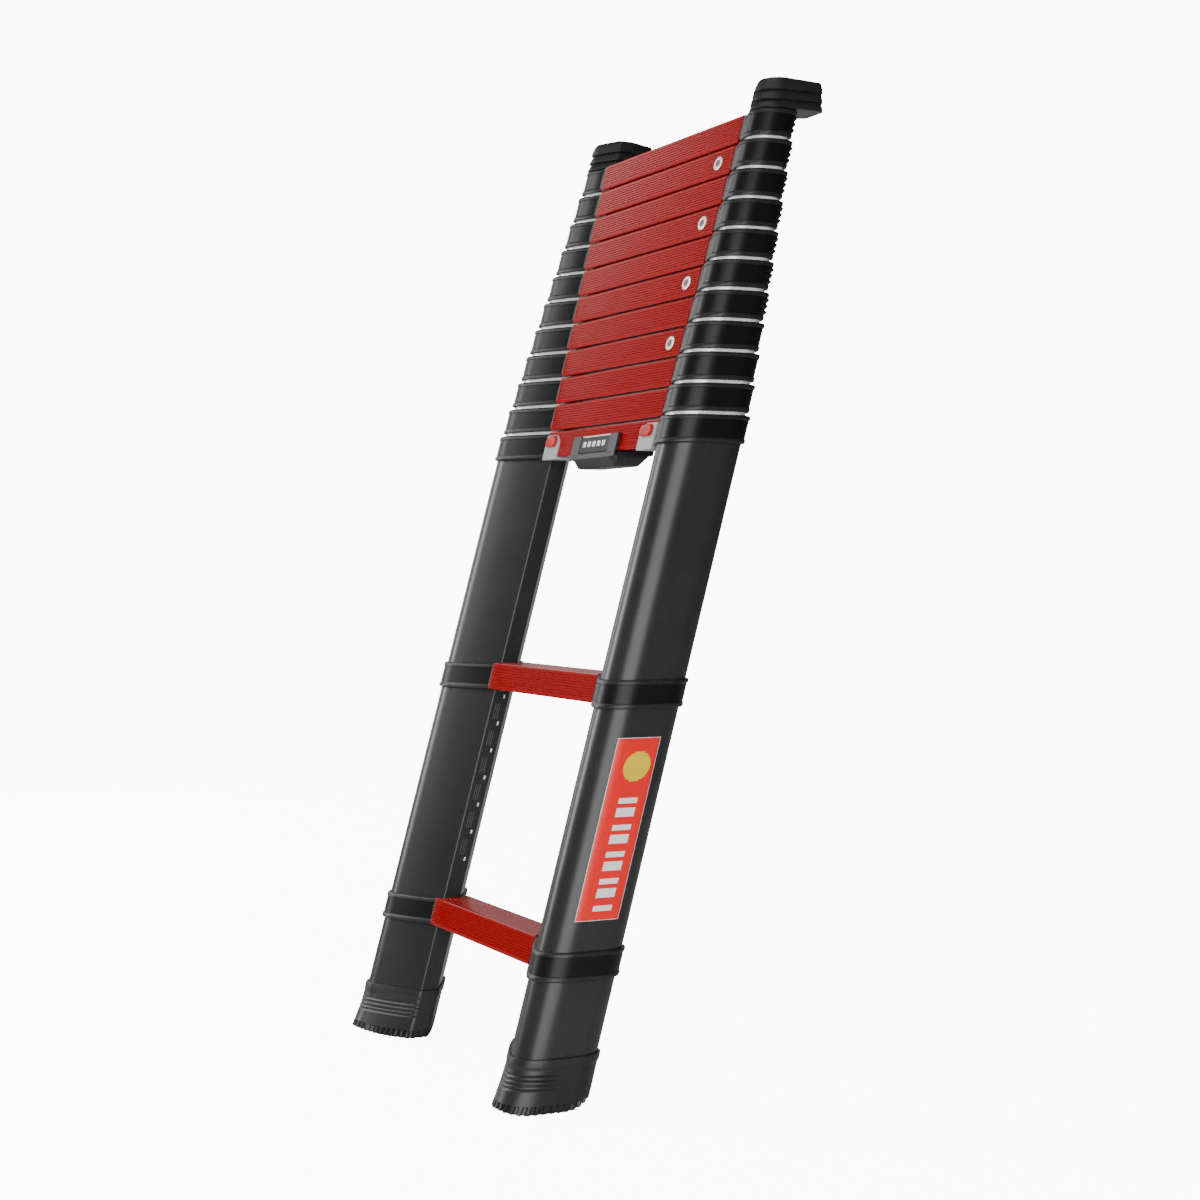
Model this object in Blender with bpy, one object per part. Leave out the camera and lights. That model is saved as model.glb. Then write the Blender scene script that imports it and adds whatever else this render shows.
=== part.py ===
"""Telescoping ladder, closed, leaning at its working angle.

The ladder stands on its two rubber feet and leans back towards +Y. Every tread, collar and sole
is level at that angle, so each is a slab with flat top and bottom whose sides follow the stiles'
slope. +X runs from the left stile to the right one, +Z is up, and the origin lies on the ground
midway between the stiles. All sizes are in metres.
"""

import math

import bmesh
import bpy
from mathutils import Matrix, Vector

# How the ladder stands and how far it travels
LEAN = math.radians(15)  # stiles to the vertical, in use
RUNG_SPACING = 0.300  # along the stiles, between locked rungs
CLOSED_PITCH = 0.036  # along the stiles, between stacked rungs
FIXED_RUNGS = 3  # rungs on the outer tubes
SLIDING_SECTIONS = 10
FIRST_TREAD_Z = 0.171  # top of the lowest rung above the ground

# Outline of the outer tube, seen along the stile; x is measured from the ladder's middle
NOSE_X = 0.148  # narrow inner face
OUTER_X = 0.2591  # wide outer face
NOSE_HALF = 0.0104  # half the nose face, measured to its sharp corner
SIDE_SLOPE = math.radians(26.1)
NOSE_RADIUS = 0.003
OUTER_RADIUS = 0.030

# Nesting of each tube in the one below it
TUBE_WALL = 0.0011
NOSE_PLAY = 0.0019
OUTER_PLAY = 0.0013
SIDE_PLAY = 0.00045
RADIUS_STEP = 0.001  # each section's outer corners are this much tighter
TUBE_OVERLAP = 0.070  # what stays inside the tube below when a section is out

# Collars at the rungs
COLLAR_HEIGHT = 0.031
COLLAR_PROUD = 0.0037  # beyond its tube
COLLAR_DROP = 0.0015  # below the tread

# Rungs
RUNG_HEIGHT = 0.0325
RUNG_FRONT = 0.0195  # from the stile's middle to the front face
RUNG_BACK = 0.0235
RUNG_WALL = 0.002
RUNG_TOP_RADIUS = 0.0015
RUNG_FOOT_RADIUS = 0.005
RUNG_LAP = 0.005  # reach past the tube's nose, around the collar

# Rubber feet
FOOT_HEIGHT = 0.058
FOOT_WALL = 0.0032
FOOT_FLOOR = 0.014  # rubber under the tube's end
FOOT_TOE = 0.006  # how far the toe reaches further forward
SOLE_FLAT_FRONT = 0.027  # level part of the sole, ahead of the stile's middle
SOLE_FLAT_BACK = 0.008  # and behind it
SOLE_TOE_RISE = 0.005
SOLE_HEEL_RISE = 0.017

# End castings and release buttons on the lowest stacked rung
CASTING_LENGTH = 0.040
CASTING_DROP = 0.003  # below the rung
CASTING_TOP_GAP = 0.004  # below the tread
CASTING_PROUD = 0.002  # in front of the rung
CASTING_ARCH = 0.45  # radius of the inner upper corner, as a share of the height
CASTING_RADIUS = 0.002
BUTTON_LENGTH = 0.028
BUTTON_HEIGHT = 0.014
BUTTON_THICKNESS = 0.0035
BUTTON_DROP = 0.0125  # middle below the tread
BUTTON_ROUNDING = 0.45  # corner radius, as a share of the height
BUTTON_TRAVEL = 0.008
BUTTON_STEM = 0.005
BUTTON_INSET = 0.0195  # from the casting's inner end to the button's middle
PIN_RADIUS = 0.004
PIN_PLAY = 0.0005
PIN_SETBACK = 0.0004  # pin's tip short of the outer tube's bore

# Carrying grip under the lowest stacked rung
GRIP_LENGTH = 0.124
GRIP_DEPTH = 0.0185  # below the rung
GRIP_CHAMFER = 0.012
GRIP_LIP = 0.0045  # thickness in front of and behind the rung
GRIP_LIP_RISE = 0.0215  # up the rung's front face
GRIP_END = 0.022  # length of each end arm
GRIP_RADIUS = 0.003
GRIP_LIP_RADIUS = 0.0015
GRIP_BORE_RADIUS = 0.0005
GRIP_END_RADIUS = 0.002
PLATE_THICKNESS = 0.0012
PLATE_MARGIN = 0.002
PLATE_RADIUS = 0.0015

# Top caps with wall rests
CAP_HEIGHT = 0.036
CAP_PROUD = 0.0035
CAP_RIB = 0.0016  # each rib stands this far out
CAP_RIBS = 3
CAP_REACH = 0.050  # from the stile's middle to the wall face, at the cap's middle height
CAP_REST_WIDTH = 0.044
CAP_SPIGOT = 0.022
CAP_RADIUS = 0.009
CAP_REST_RADIUS = 0.002  # where the rest meets the stile's cap

GAP = 0.0003  # between pieces that touch
CORNER_FILL = 0.98  # most of a wall's half that its corner radius may take up
SMALL_RADIUS = 0.005  # corners under this take two facets

TAN = math.tan(LEAN)
COS = math.cos(LEAN)
SPACING_Z = RUNG_SPACING * COS
PITCH_Z = CLOSED_PITCH * COS
TRAVEL = RUNG_SPACING - CLOSED_PITCH
TUBE_LENGTH_Z = (RUNG_SPACING + TUBE_OVERLAP) * COS
SIDES = (("left", -1), ("right", 1))

BLACK_ALUMINIUM = ("black_anodised", (0.018, 0.018, 0.020), 0.32, 0.6)
SILVER_ALUMINIUM = ("silver_aluminium", (0.74, 0.75, 0.76), 0.28, 1.0)
BLACK_PLASTIC = ("black_plastic", (0.014, 0.014, 0.015), 0.45, 0.0)
RED_ALUMINIUM = ("red_anodised", (0.62, 0.020, 0.022), 0.34, 0.35)
GREY_PLASTIC = ("grey_casting", (0.50, 0.52, 0.52), 0.42, 0.2)
RED_PLASTIC = ("red_plastic", (0.60, 0.015, 0.018), 0.35, 0.0)
BLACK_RUBBER = ("black_rubber", (0.012, 0.012, 0.013), 0.70, 0.0)
STEEL = ("steel", (0.55, 0.55, 0.56), 0.30, 1.0)


def rounded(corners, steps):
    """Closed outline through corners given as (x, y, radius), each turned into an arc."""
    outline = []
    count = len(corners)
    for index, (x, y, radius) in enumerate(corners):
        pieces = 2 if radius < SMALL_RADIUS else steps
        corner = Vector((x, y))
        before = (Vector(corners[index - 1][:2]) - corner).normalized()
        after = (Vector(corners[(index + 1) % count][:2]) - corner).normalized()
        half = before.angle(after) / 2
        middle = corner + (before + after).normalized() * (radius / math.sin(half))
        start = corner + before * (radius / math.tan(half)) - middle
        sweep = math.pi - 2 * half
        turn = sweep if start.x * (-before.y) - start.y * (-before.x) > 0 else -sweep
        for step in range(pieces + 1):
            angle = turn * step / pieces
            cos, sin = math.cos(angle), math.sin(angle)
            outline.append((middle.x + start.x * cos - start.y * sin,
                            middle.y + start.x * sin + start.y * cos))
    return outline


def nose_x(section, grow=0.0):
    """Inner face of a section's tube; section 0 is the outer tube."""
    return NOSE_X + section * (TUBE_WALL + NOSE_PLAY) - grow


def outer_x(section, grow=0.0):
    return OUTER_X - section * (TUBE_WALL + OUTER_PLAY) + grow


def half_depth(section, x, grow=0.0):
    """Half the tube's depth at x, before its corners are rounded."""
    inset = section * (TUBE_WALL + SIDE_PLAY) - grow
    return NOSE_HALF + (x - NOSE_X) * math.tan(SIDE_SLOPE) - inset / math.cos(SIDE_SLOPE)


def stile_outline(section, grow=0.0, steps=5):
    """A tube's outline, seen along the stile, moved outwards by grow all round."""
    inner, outer = nose_x(section, grow), outer_x(section, grow)
    nose_half = half_depth(section, inner, grow)
    outer_half = half_depth(section, outer, grow)
    nose_radius = max(NOSE_RADIUS + grow, GAP)
    outer_fit = outer_half * math.tan(math.pi / 4 - SIDE_SLOPE / 2) * CORNER_FILL
    outer_radius = min(OUTER_RADIUS - section * RADIUS_STEP + grow, outer_fit)
    return rounded([
        (inner, -nose_half, nose_radius),
        (outer, -outer_half, outer_radius),
        (outer, outer_half, outer_radius),
        (inner, nose_half, nose_radius),
    ], steps)


def clean_mesh(mesh):
    """Joins the loose edges that a curve leaves and turns all faces outwards."""
    work = bmesh.new()
    work.from_mesh(mesh)
    bmesh.ops.remove_doubles(work, verts=work.verts, dist=1e-6)
    bmesh.ops.recalc_face_normals(work, faces=work.faces)
    work.to_mesh(mesh)
    work.free()


def slab_mesh(name, loops, low, high):
    """Mesh between the heights low and high whose outlines are the loops; inner loops are holes."""
    curve = bpy.data.curves.new(name, "CURVE")
    curve.dimensions = "2D"
    curve.fill_mode = "BOTH"
    curve.extrude = (high - low) / 2
    curve.render_resolution_u = 0
    for loop in loops:
        spline = curve.splines.new("POLY")
        spline.points.add(len(loop) - 1)
        for point, (x, y) in zip(spline.points, loop):
            point.co = (x, y, 0, 1)
        spline.use_cyclic_u = True
    holder = bpy.data.objects.new(name, curve)
    bpy.context.scene.collection.objects.link(holder)
    depsgraph = bpy.context.evaluated_depsgraph_get()
    mesh = bpy.data.meshes.new_from_object(holder.evaluated_get(depsgraph))
    bpy.data.objects.remove(holder)
    bpy.data.curves.remove(curve)
    mesh.transform(Matrix.Translation((0, 0, (low + high) / 2)))
    clean_mesh(mesh)
    mesh.name = name
    return mesh


def leaning(mesh):
    """Moves each level of a mesh back with the stiles' slope."""
    shear = Matrix.Identity(4)
    shear[1][2] = TAN
    mesh.transform(shear)
    return mesh


def stile_slab(name, side, outlines, low, high):
    """Leaning slab whose outlines are seen along the stile, on one side of the ladder."""
    loops = [[(side * x, y / COS) for x, y in outline] for outline in outlines]
    return leaning(slab_mesh(name, loops, low, high))


def across(mesh):
    """Turns a mesh drawn in X and Y and thick in Z into one drawn in Y and Z and thick in X."""
    mesh.transform(Matrix(((0, 0, 1, 0), (1, 0, 0, 0), (0, 1, 0, 0), (0, 0, 0, 1))))
    return mesh


def facing(mesh):
    """Turns a mesh drawn in X and Y and thick in Z into one drawn in X and Z and thick in Y."""
    mesh.transform(Matrix(((1, 0, 0, 0), (0, 0, -1, 0), (0, 1, 0, 0), (0, 0, 0, 1))))
    return mesh


def box_mesh(name, low, high):
    """Box between two corners."""
    work = bmesh.new()
    bmesh.ops.create_cube(work, size=1.0)
    size = Vector(high) - Vector(low)
    bmesh.ops.scale(work, vec=size, verts=work.verts)
    bmesh.ops.translate(work, vec=(Vector(low) + Vector(high)) / 2, verts=work.verts)
    mesh = bpy.data.meshes.new(name)
    work.to_mesh(mesh)
    work.free()
    return mesh


def rod_mesh(name, radius, start_x, end_x, y, z, segments=16):
    """Round rod along X."""
    work = bmesh.new()
    bmesh.ops.create_cone(work, cap_ends=True, segments=segments, radius1=radius, radius2=radius,
                          depth=abs(end_x - start_x))
    bmesh.ops.rotate(work, cent=(0, 0, 0), matrix=Matrix.Rotation(math.pi / 2, 3, "Y"),
                     verts=work.verts)
    bmesh.ops.translate(work, vec=((start_x + end_x) / 2, y, z), verts=work.verts)
    mesh = bpy.data.meshes.new(name)
    work.to_mesh(mesh)
    work.free()
    return mesh


def rectangle(x0, y0, x1, y1, radius, steps=3):
    return rounded([(x0, y0, radius), (x1, y0, radius), (x1, y1, radius), (x0, y1, radius)], steps)


def combined(mesh, others, operation):
    """The mesh with the others joined to it or cut from it."""
    target = bpy.data.objects.new("work", mesh)
    collection = bpy.context.scene.collection
    collection.objects.link(target)
    tools = []
    for other in others:
        tool = bpy.data.objects.new("tool", other)
        collection.objects.link(tool)
        tools.append(tool)
        modifier = target.modifiers.new("join", "BOOLEAN")
        modifier.operation = operation
        modifier.solver = "EXACT"
        modifier.object = tool
    depsgraph = bpy.context.evaluated_depsgraph_get()
    result = bpy.data.meshes.new_from_object(target.evaluated_get(depsgraph))
    for item in [target, *tools]:
        data = item.data
        bpy.data.objects.remove(item)
        bpy.data.meshes.remove(data)
    result.name = "solid"
    return result


def union(mesh, *others):
    return combined(mesh, others, "UNION")


def cut(mesh, *others):
    return combined(mesh, others, "DIFFERENCE")


def finish_material(kind):
    name, colour, roughness, metallic = kind
    material = bpy.data.materials.get(name) or bpy.data.materials.new(name)
    material.use_nodes = True
    shader = material.node_tree.nodes["Principled BSDF"]
    shader.inputs["Base Color"].default_value = (*colour, 1.0)
    shader.inputs["Roughness"].default_value = roughness
    shader.inputs["Metallic"].default_value = metallic
    return material


class Ladder:
    """Holds the ladder's collection and puts each piece in its place."""

    def __init__(self):
        self.collection = bpy.data.collections.new("telescoping_ladder")
        bpy.context.scene.collection.children.link(self.collection)
        self.mounts = {}

    def section_mount(self, name, z):
        """Empty on the slide axis of a section, at its collars' height."""
        empty = bpy.data.objects.new(name, None)
        empty.location = (0, z * TAN, z)
        empty.rotation_euler = (-LEAN, 0, 0)
        self.collection.objects.link(empty)
        self.mounts[name] = empty
        return empty

    def place(self, name, mesh, kind, origin, mount=None):
        """Adds one piece with its origin at a point of its own, held by a mount."""
        mesh.transform(Matrix.Translation(-Vector(origin)))
        mesh.name = name
        mesh.materials.clear()
        mesh.materials.append(finish_material(kind))
        mesh.shade_smooth()
        mesh.set_sharp_from_angle(angle=math.radians(35))
        piece = bpy.data.objects.new(name, mesh)
        piece.location = origin
        self.collection.objects.link(piece)
        if mount is not None:
            bpy.context.view_layer.update()
            piece.parent = mount
            piece.matrix_parent_inverse = mount.matrix_world.inverted()
        return piece


def tread_z(rung):
    """Height of a rung's tread, closed; rungs count from 1 at the bottom."""
    fixed = min(rung, FIXED_RUNGS) - 1
    stacked = max(rung - FIXED_RUNGS, 0)
    return FIRST_TREAD_Z + fixed * SPACING_Z + stacked * PITCH_Z


def collar_span(rung):
    top = tread_z(rung) - COLLAR_DROP
    return top - COLLAR_HEIGHT, top


def stile_point(side, x, z):
    """A point on the stile's middle plane."""
    return (side * x, z * TAN, z)


def rung_mesh(name, rung, half_length, section):
    """Hollow rung with a level tread, whose ends fit around the collars' noses."""
    top = tread_z(rung)
    bottom = top - RUNG_HEIGHT
    outer = rounded([
        (-RUNG_FRONT, bottom, RUNG_FOOT_RADIUS),
        (RUNG_BACK, bottom, RUNG_FOOT_RADIUS),
        (RUNG_BACK, top, RUNG_TOP_RADIUS),
        (-RUNG_FRONT, top, RUNG_TOP_RADIUS),
    ], 3)
    inner = rounded([
        (-RUNG_FRONT + RUNG_WALL, bottom + RUNG_WALL, RUNG_FOOT_RADIUS - RUNG_WALL),
        (RUNG_BACK - RUNG_WALL, bottom + RUNG_WALL, RUNG_FOOT_RADIUS - RUNG_WALL),
        (RUNG_BACK - RUNG_WALL, top - RUNG_WALL, RUNG_TOP_RADIUS / 2),
        (-RUNG_FRONT + RUNG_WALL, top - RUNG_WALL, RUNG_TOP_RADIUS / 2),
    ], 2)
    tube = leaning(across(slab_mesh(name, [outer, inner], -half_length, half_length)))
    noses = [
        stile_slab("nose", side, [stile_outline(section, COLLAR_PROUD + GAP)],
                   bottom - RUNG_HEIGHT, top + RUNG_HEIGHT)
        for _, side in SIDES
    ]
    return cut(tube, *noses)


def build_base_tubes(ladder):
    top = collar_span(FIXED_RUNGS)[1]
    pin_z = button_z()
    for label, side in SIDES:
        tube = stile_slab("tube", side, [stile_outline(0), stile_outline(0, -TUBE_WALL)],
                          FOOT_FLOOR, top)
        bore = rod_mesh("pin_hole", PIN_RADIUS + PIN_PLAY, side * (NOSE_X - TUBE_WALL),
                        side * (NOSE_X + 2 * TUBE_WALL), pin_z * TAN, pin_z)
        ladder.place(f"stile_tube_{label}", cut(tube, bore), BLACK_ALUMINIUM,
                     stile_point(side, OUTER_X, FOOT_FLOOR))


def build_base_collars(ladder):
    pin_z = button_z()
    for rung in range(1, FIXED_RUNGS + 1):
        low, high = collar_span(rung)
        for label, side in SIDES:
            collar = stile_slab("collar", side, [stile_outline(0, COLLAR_PROUD),
                                                 stile_outline(0, GAP)], low, high)
            if rung == FIXED_RUNGS:
                bore = rod_mesh("pin_hole", PIN_RADIUS + PIN_PLAY,
                                side * (NOSE_X - 2 * COLLAR_PROUD),
                                side * (NOSE_X + TUBE_WALL), pin_z * TAN, pin_z)
                collar = cut(collar, bore)
            ladder.place(f"collar_{rung:02d}_{label}", collar, BLACK_PLASTIC,
                         stile_point(side, OUTER_X, low))


def sole_outline():
    """Side view of a foot: the sole is level in the middle and curves up at toe and heel."""
    toe = -half_depth_at_sole() - FOOT_TOE
    heel = half_depth_at_sole()
    points = []
    for step in range(6):
        share = 1 - step / 5
        points.append((-SOLE_FLAT_FRONT + (toe + SOLE_FLAT_FRONT) * share,
                       SOLE_TOE_RISE * share ** 2))
    for step in range(7):
        share = step / 6
        points.append((SOLE_FLAT_BACK + (heel - SOLE_FLAT_BACK) * share,
                       SOLE_HEEL_RISE * share ** 2))
    points.append((heel, 2 * FOOT_HEIGHT))
    points.append((toe, 2 * FOOT_HEIGHT))
    return points


def half_depth_at_sole():
    """Half the foot's length on the ground, without the toe."""
    outline = stile_outline(0, FOOT_WALL)
    return max(y for _, y in outline) / COS + FOOT_WALL


def build_feet(ladder):
    """Rubber boots: a slab around the tube's end, flared at the toe, with a rocker sole."""
    for label, side in SIDES:
        boot = stile_slab("boot", side, [stile_outline(0, FOOT_WALL)], -FOOT_WALL, FOOT_HEIGHT)
        work = bmesh.new()
        work.from_mesh(boot)
        middle_x = side * (NOSE_X + OUTER_X) / 2
        for vertex in work.verts:
            if vertex.co.z < 0 and vertex.co.y < 0:
                vertex.co.y -= FOOT_TOE
            if vertex.co.z < 0:
                vertex.co.x += (vertex.co.x - middle_x) * FOOT_WALL / (OUTER_X - NOSE_X)
        work.to_mesh(boot)
        work.free()
        pocket = stile_slab("pocket", side, [stile_outline(0, GAP)], FOOT_FLOOR - GAP,
                            2 * FOOT_HEIGHT)
        under = across(slab_mesh("sole", [sole_outline()], -OUTER_X * 2, OUTER_X * 2))
        boot = combined(boot, [under], "INTERSECT")
        ladder.place(f"foot_{label}", cut(boot, pocket), BLACK_RUBBER,
                     (side * (NOSE_X + OUTER_X) / 2, 0, 0))


def casting_span():
    """Inner end, outer end, bottom and top of the right-hand end casting."""
    outer = NOSE_X + RUNG_LAP
    top = tread_z(FIXED_RUNGS)
    return (outer - CASTING_LENGTH, outer, top - RUNG_HEIGHT - CASTING_DROP, top - CASTING_TOP_GAP)


def casting_block(name, side, grow):
    """Outer shape of an end casting, seen from the front: its inner upper corner is arched."""
    inner, outer, bottom, top = casting_span()
    arch = (top - bottom) * CASTING_ARCH
    outline = rounded([
        (side * (inner - grow), bottom - grow, CASTING_RADIUS),
        (side * (outer + grow), bottom - grow, CASTING_RADIUS),
        (side * (outer + grow), top + grow, CASTING_RADIUS),
        (side * (inner - grow), top + grow, arch),
    ], 4)
    front = -RUNG_FRONT - CASTING_PROUD - grow
    back = RUNG_BACK + grow
    mesh = facing(slab_mesh(name, [outline], -back, -front))
    return leaning(mesh)


def button_z():
    """Height of the release buttons and their lock pins."""
    return tread_z(FIXED_RUNGS) - BUTTON_DROP


def button_x():
    return casting_span()[0] + BUTTON_INSET


def build_fixed_rungs(ladder):
    for rung in range(1, FIXED_RUNGS + 1):
        mesh = rung_mesh("rung", rung, NOSE_X + RUNG_LAP, 0)
        if rung == FIXED_RUNGS:
            mesh = cut(mesh, *[casting_block("end", side, GAP) for _, side in SIDES])
        z = tread_z(rung)
        ladder.place(f"rung_{rung:02d}", mesh, RED_ALUMINIUM, (0, z * TAN, z))


def build_castings(ladder):
    """Light castings that end the lowest stacked rung and carry the release buttons."""
    z = button_z()
    y = z * TAN
    inner, outer, _, top = casting_span()
    for label, side in SIDES:
        block = casting_block("casting", side, 0.0)
        nose = stile_slab("nose", side, [stile_outline(0, COLLAR_PROUD + GAP)], 0.0, 2 * top)
        pin_bore = rod_mesh("pin_bore", PIN_RADIUS + PIN_PLAY, side * (inner - GAP),
                            side * (outer + GAP), y, z)
        slot_low = button_x() - BUTTON_TRAVEL - BUTTON_STEM / 2 - PIN_PLAY
        slot_high = button_x() + BUTTON_STEM / 2 + PIN_PLAY
        slot_half = BUTTON_STEM / 2 + PIN_PLAY
        slot = box_mesh("slot", (min(side * slot_low, side * slot_high), y - 2 * RUNG_FRONT,
                                 z - slot_half),
                        (max(side * slot_low, side * slot_high), y, z + slot_half))
        ladder.place(f"end_casting_{label}", cut(block, nose, pin_bore, slot), GREY_PLASTIC,
                     (side * inner, y, z))


def build_release(ladder):
    """Thumb buttons and the lock pins that they draw out of the first sliding section."""
    z = button_z()
    y = z * TAN
    front = y - RUNG_FRONT - CASTING_PROUD - GAP
    for label, side in SIDES:
        middle = button_x()
        mount = bpy.data.objects.new(f"release_axis_{label}", None)
        mount.location = (side * middle, y, z)
        ladder.collection.objects.link(mount)
        outline = rectangle(side * middle - BUTTON_LENGTH / 2, z - BUTTON_HEIGHT / 2,
                            side * middle + BUTTON_LENGTH / 2, z + BUTTON_HEIGHT / 2,
                            BUTTON_HEIGHT * BUTTON_ROUNDING, 5)
        pad = facing(slab_mesh("pad", [outline], -front, -front + BUTTON_THICKNESS))
        slope = Matrix.Identity(4)
        slope[1][2] = TAN
        slope[1][3] = -TAN * z
        pad.transform(slope)
        stem_end = y - PIN_RADIUS - GAP
        stem = box_mesh("stem", (side * middle - BUTTON_STEM / 2, front - BUTTON_THICKNESS / 2,
                                 z - BUTTON_STEM / 2),
                        (side * middle + BUTTON_STEM / 2, stem_end, z + BUTTON_STEM / 2))
        ladder.place(f"release_button_{label}", union(pad, stem), RED_PLASTIC,
                     (side * middle, front, z), mount)
        tip = NOSE_X + TUBE_WALL - PIN_SETBACK
        inner_end = casting_span()[0] - 2 * GAP
        pin = rod_mesh("pin", PIN_RADIUS, side * inner_end, side * tip, y, z)
        ladder.place(f"lock_pin_{label}", pin, STEEL, (side * tip, y, z), mount)


def grip_outline():
    """Section through the grip: a trough under the rung with lips up its front and back faces."""
    rung_low = tread_z(FIXED_RUNGS) - RUNG_HEIGHT
    front, back = -RUNG_FRONT - GAP, RUNG_BACK + GAP
    low = rung_low - GRIP_DEPTH
    lip_top = rung_low + GRIP_LIP_RISE
    floor = rung_low - GAP
    return rounded([
        (front - GRIP_LIP + GRIP_CHAMFER, low, GRIP_RADIUS),
        (back + GRIP_LIP - GRIP_CHAMFER, low, GRIP_RADIUS),
        (back + GRIP_LIP, low + GRIP_CHAMFER, GRIP_RADIUS),
        (back + GRIP_LIP, lip_top, GRIP_LIP_RADIUS),
        (back, lip_top, GRIP_BORE_RADIUS),
        (back, floor, GRIP_BORE_RADIUS),
        (front, floor, GRIP_BORE_RADIUS),
        (front, lip_top, GRIP_BORE_RADIUS),
        (front - GRIP_LIP, lip_top, GRIP_LIP_RADIUS),
        (front - GRIP_LIP, low + GRIP_CHAMFER, GRIP_RADIUS),
    ], 2)


def build_grip(ladder):
    """Moulded carrying grip with a blank plate between its front arms."""
    rung_low = tread_z(FIXED_RUNGS) - RUNG_HEIGHT
    half = GRIP_LENGTH / 2
    low = rung_low - GRIP_DEPTH
    trough = leaning(across(slab_mesh("grip", [grip_outline()], -half, half)))
    ends = rounded([
        (-half + GRIP_CHAMFER, low - GAP, GRIP_END_RADIUS),
        (half - GRIP_CHAMFER, low - GAP, GRIP_END_RADIUS),
        (half + GAP, low + 2 * GRIP_CHAMFER, GRIP_END_RADIUS),
        (half + GAP, rung_low + 2 * GRIP_LIP_RISE, GRIP_END_RADIUS),
        (-half - GAP, rung_low + 2 * GRIP_LIP_RISE, GRIP_END_RADIUS),
        (-half - GAP, low + 2 * GRIP_CHAMFER, GRIP_END_RADIUS),
    ], 2)
    reach = 4 * RUNG_BACK + rung_low
    boat = facing(slab_mesh("ends", [ends], -reach, reach))
    trough = combined(trough, [boat], "INTERSECT")
    plate_half = half - GRIP_END
    plate_low = rung_low
    plate_high = rung_low + GRIP_LIP_RISE - PLATE_MARGIN
    outline = rectangle(-plate_half, plate_low, plate_half, plate_high, PLATE_RADIUS)
    face = RUNG_FRONT + GAP + GRIP_LIP
    recess = leaning(facing(slab_mesh("recess", [
        rectangle(-plate_half - GAP, plate_low - GAP, plate_half + GAP, plate_high + GAP,
                  PLATE_RADIUS + GAP),
    ], face - PLATE_THICKNESS, face + PLATE_THICKNESS)))
    plate = leaning(facing(slab_mesh("plate", [outline], face - PLATE_THICKNESS + GAP, face)))
    origin = (0, rung_low * TAN, rung_low)
    ladder.place("carry_grip", cut(trough, recess), BLACK_PLASTIC, origin)
    ladder.place("grip_plate", plate, BLACK_PLASTIC, origin)


def build_sections(ladder):
    """Sliding sections: a pair of tubes with their collars, and the rung between them."""
    for section in range(1, SLIDING_SECTIONS + 1):
        rung = FIXED_RUNGS + section
        low, high = collar_span(rung)
        mount = ladder.section_mount(f"section_axis_{rung:02d}", low)
        for label, side in SIDES:
            bore = stile_outline(section, -TUBE_WALL)
            tube = stile_slab("tube", side, [stile_outline(section), bore],
                              high - TUBE_LENGTH_Z, high)
            collar = stile_slab("collar", side, [stile_outline(section, COLLAR_PROUD),
                                                 stile_outline(section, -TUBE_WALL / 2)],
                                low, high)
            ladder.place(f"stile_{rung:02d}_{label}", union(tube, collar), SILVER_ALUMINIUM,
                         stile_point(side, outer_x(section), low), mount)
        z = tread_z(rung)
        mesh = rung_mesh("rung", rung, nose_x(section) + RUNG_LAP, section)
        ladder.place(f"rung_{rung:02d}", mesh, RED_ALUMINIUM, (0, z * TAN, z), mount)


def cap_slab(side, low, high, grow):
    """One layer of a cap: over the stile's end and back to the wall."""
    outline = stile_outline(SLIDING_SECTIONS, CAP_PROUD + grow)
    return stile_slab("cap", side, [outline], low, high)


def rest_slab(side, low, high, grow):
    """One layer of a cap's wall rest, reaching back from the stile."""
    middle_z = collar_span(FIXED_RUNGS + SLIDING_SECTIONS)[1] + GAP + CAP_HEIGHT / 2
    outer = outer_x(SLIDING_SECTIONS) + CAP_PROUD + grow
    inner = outer - CAP_REST_WIDTH - 2 * grow
    wall = middle_z * TAN + CAP_REACH
    outline = rounded([
        (side * inner, middle_z * TAN, CAP_REST_RADIUS),
        (side * outer, middle_z * TAN, CAP_REST_RADIUS),
        (side * outer, wall, CAP_RADIUS),
        (side * inner, wall, CAP_RADIUS),
    ], 4)
    return slab_mesh("rest", [outline], low, high)


def build_caps(ladder):
    """Stepped caps that plug the top tubes and rest against the wall."""
    last = SLIDING_SECTIONS
    rung = FIXED_RUNGS + last
    mount = ladder.mounts[f"section_axis_{rung:02d}"]
    low = collar_span(rung)[1] + GAP
    layer = CAP_HEIGHT / CAP_RIBS
    for label, side in SIDES:
        pieces = []
        for rib in range(CAP_RIBS):
            base = low + rib * layer
            root = base - GAP if rib else base
            grow = -rib * CAP_RIB / 2
            pieces.append(cap_slab(side, root, base + layer, grow))
            pieces.append(rest_slab(side, root, base + layer, grow))
        spigot = stile_slab("spigot", side, [stile_outline(last, -TUBE_WALL - GAP)],
                            low - CAP_SPIGOT, low + layer / 2)
        cap = union(spigot, *pieces)
        ladder.place(f"wall_cap_{label}", cap, BLACK_PLASTIC,
                     stile_point(side, outer_x(last), low), mount)


def main():
    for item in list(bpy.data.objects):
        bpy.data.objects.remove(item, do_unlink=True)
    ladder = Ladder()
    build_feet(ladder)
    build_base_tubes(ladder)
    build_base_collars(ladder)
    build_fixed_rungs(ladder)
    build_castings(ladder)
    build_release(ladder)
    build_grip(ladder)
    build_sections(ladder)
    build_caps(ladder)


main()
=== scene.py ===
"""Finished look of a telescoping ladder, closed and leaning at its working angle.

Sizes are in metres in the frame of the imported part: +X runs from the left stile to the right one,
+Y goes back towards the wall, +Z is up, and the stiles lean back towards +Y.
"""

import logging
import math
from dataclasses import dataclass
from enum import Enum

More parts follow.
